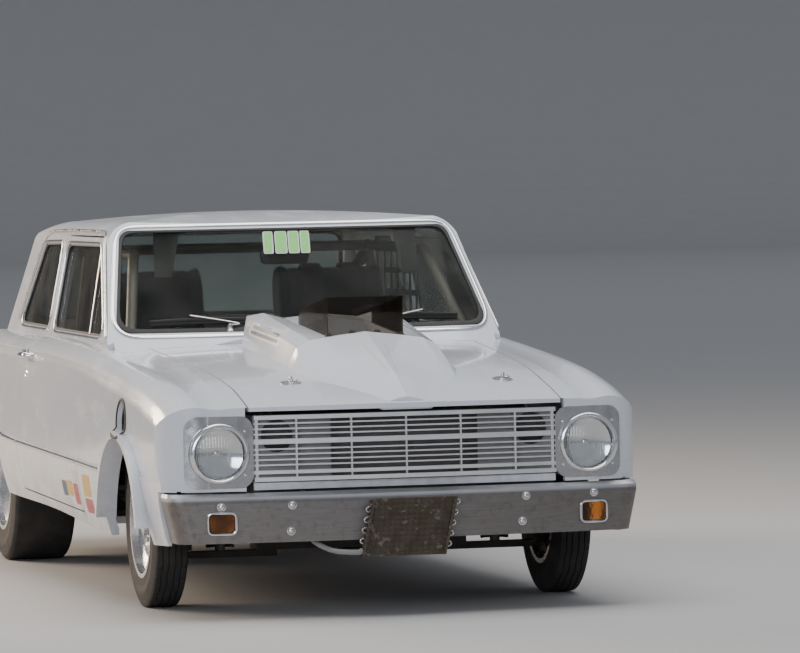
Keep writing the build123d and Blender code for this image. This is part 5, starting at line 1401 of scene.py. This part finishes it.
# %% Boot and tail
battery = np.array([-0.520, back(3.46), 0.484])
filler_cap = turned([(0, 0), (0, 0.010), (0.016, 0.009), (0.016, 0)], steps=18)
strap = np.array([battery + [x, 0, 0.184] for x in np.linspace(-0.085, 0.085, 5)])
made("battery", joined([
    case(0.075, 0.002, 0.180, 0.006, [(-0.130, 0.99), (-0.126, 1.0), (0.126, 1.0), (0.130, 0.99)], battery),
    repeated(filler_cap, shifts([battery + [0, y, 0.180] for y in (-0.09, 0.09)])),
    carried(slab(0.030, 0.004, 0.4), strap, (0, 0, 1)),
]), hose_rubber)
plate_height, lock_height = 0.690, 0.806
plate, _ = on_skin(rear_skin, [(0, plate_height)], "rear")
plate_depths = [(0.001, 1.0), (0.004, 1.0), (0.0045, 0.985), (0.0040, 0.965)]
made("blank_plate", case(0.152, -0.076, 0.076, 0.010, plate_depths, plate[0]), pale_tape, "boot_lid")
lock = turned([(-0.002, 0), (-0.002, 0.022), (0.003, 0.022), (0.006, 0.014), (0.004, 0.012), (0.004, 0)],
              steps=28)
fastened("boot_lock", [lock], skins["boot_lid"], [(0, lock_height)], "rear", chrome, "boot_lid")
made("net_rods", joined([pipe([(578, 1380, z), (578, 1930, z)], 5, 4, 10) for z in (1236, 946)]), black_steel)
print("boot and tail made")

# %% [markdown]
# ## Tube bends of the oil cooler
# The cooler's tubes turn round outside its side rails, so small loops show along both edges. Each loop is
# a half circle swept by a pipe. The loops join the tubes in pairs and lean with the rails.

# %% Cooler bends
# Heights, distances and radii in millimetres
cooler_low, cooler_high = 205.0, 401.0
lowest_tube, tube_count = 214.0, 11
tube_pitch = (cooler_high - cooler_low - 18.0) / (tube_count - 1)
bend_angles = np.linspace(-np.pi / 2, np.pi / 2, 15)
bend_reach, bend_radius = 13.0, 3.6
# The bends lie 16 mm behind the cooler's front face
cooler_front = nodes["oil_cooler"].bound_box[0][1] / millimetre - front_axle / millimetre
cooler_bends = []
for sign, foot, head in ((-1, -184.0, -142.0), (1, 110.0, 156.0)):
    for first in range(0 if sign < 0 else 1, tube_count - 1, 2):
        middle = lowest_tube + (first + 0.5) * tube_pitch
        lean = (middle - cooler_low) / (cooler_high - cooler_low)
        edge = foot + (head - foot) * lean
        bend = [(edge + sign * bend_reach * np.cos(a), cooler_front + 16.0,
                 middle + tube_pitch / 2 * np.sin(a))
                for a in bend_angles]
        cooler_bends.append(pipe(bend, bend_radius, 24, 10))
made("cooler_bends", joined(cooler_bends), old_chrome)
print(len(cooler_bends), "cooler bends made")

# %% [markdown]
# ## Floor, light and camera
# A plain pale floor runs up into a backdrop. Broad soft lights stand for an evening sky: a warm one
# low behind the car, a wide white one overhead and a faint cool one in front.

# %% Floor and backdrop
floor_side, floor_end, rise_radius, wall_top = 70, 90, 9, 30
rise_angle = np.linspace(0, np.pi / 2, 24)
rise = np.stack([floor_end + rise_radius * np.sin(rise_angle),
                 rise_radius - rise_radius * np.cos(rise_angle)], 1)
floor_run = np.concatenate([
    np.stack([np.linspace(-floor_side, floor_end, 38), np.zeros(38)], 1), rise[1:],
    np.array([[floor_end + rise_radius, wall_top]]),
])
floor_across = np.linspace(-floor_side, floor_side, 24)
floor_points = np.stack([
    np.broadcast_to(floor_across[None, :], (len(floor_run), 24)),
    np.broadcast_to(floor_run[:, :1], (len(floor_run), 24)),
    np.broadcast_to(floor_run[:, 1:], (len(floor_run), 24)),
], -1)
studio = Finish("studio_floor", (0.50, 0.49, 0.48), 0.75)
studio.set("Base Color", studio.mix(studio.noise(2, 4) * 0.3, (0.50, 0.49, 0.48), (0.44, 0.43, 0.42)))
studio.bump(studio.noise(120, 4), 0.002, 0.25)
backdrop_mesh = bpy.data.meshes.new("backdrop")
backdrop_mesh.from_pydata(floor_points.reshape(-1, 3).tolist(), [],
                          quads(len(floor_run), 24)[:, ::-1].tolist())
backdrop_mesh.materials.append(studio.material)
backdrop = bpy.data.objects.new("backdrop", backdrop_mesh)
bpy.context.scene.collection.objects.link(backdrop)

# %% Lights


def soft_light(name, place, target, wide, high, power, colour):
    """Area light at a place, looking at a target."""
    data = bpy.data.lights.new(name, "AREA")
    data.shape, data.size, data.size_y = "RECTANGLE", wide, high
    data.energy, data.color = power, colour
    lamp = bpy.data.objects.new(name, data)
    lamp.location = place
    lamp.rotation_euler = (Vector(target) - Vector(place)).to_track_quat("-Z", "Y").to_euler()
    bpy.context.scene.collection.objects.link(lamp)


soft_light("evening_light", (-7.5, 8.0, 4.2), (0, 0.0, 0.8), 7.0, 3.5, 1500, (1.0, 0.80, 0.60))
soft_light("overhead_light", (0.5, -1.0, 7.0), (0, 0, 0), 8.0, 6.0, 520, (1.0, 0.98, 0.96))
soft_light("front_light", (-6.0, -13.0, 3.4), (0, -1, 0.7), 6.0, 3.5, 420, (0.86, 0.92, 1.0))
world = bpy.data.worlds.new("studio_air")
world.use_nodes = True
background = world.node_tree.nodes["Background"]
background.inputs["Color"].default_value = (0.80, 0.86, 0.95, 1)
background.inputs["Strength"].default_value = 0.42
bpy.context.scene.world = world

# %% Camera
# A long lens far ahead of the car, a little to its right, at about shoulder height
camera_place = (-4.543, -20.786, 1.471)
yaw, pitch, roll = math.radians(13.72), math.radians(1.47), math.radians(-1.19)
look = np.array([math.sin(yaw) * math.cos(pitch), math.cos(yaw) * math.cos(pitch), -math.sin(pitch)])
level = np.array([math.cos(yaw), -math.sin(yaw), 0.0])
upright = np.cross(level, look)
right = math.cos(roll) * level + math.sin(roll) * upright
top = math.cos(roll) * upright - math.sin(roll) * level
lens = bpy.data.cameras.new("camera")
lens.lens, lens.sensor_width = 252.2, 36.0
lens.clip_end = 300
camera = bpy.data.objects.new("camera", lens)
camera.matrix_world = Matrix([[right[i], top[i], -look[i], camera_place[i]]
                              for i in range(3)] + [[0, 0, 0, 1]])
bpy.context.scene.collection.objects.link(camera)
bpy.context.scene.camera = camera
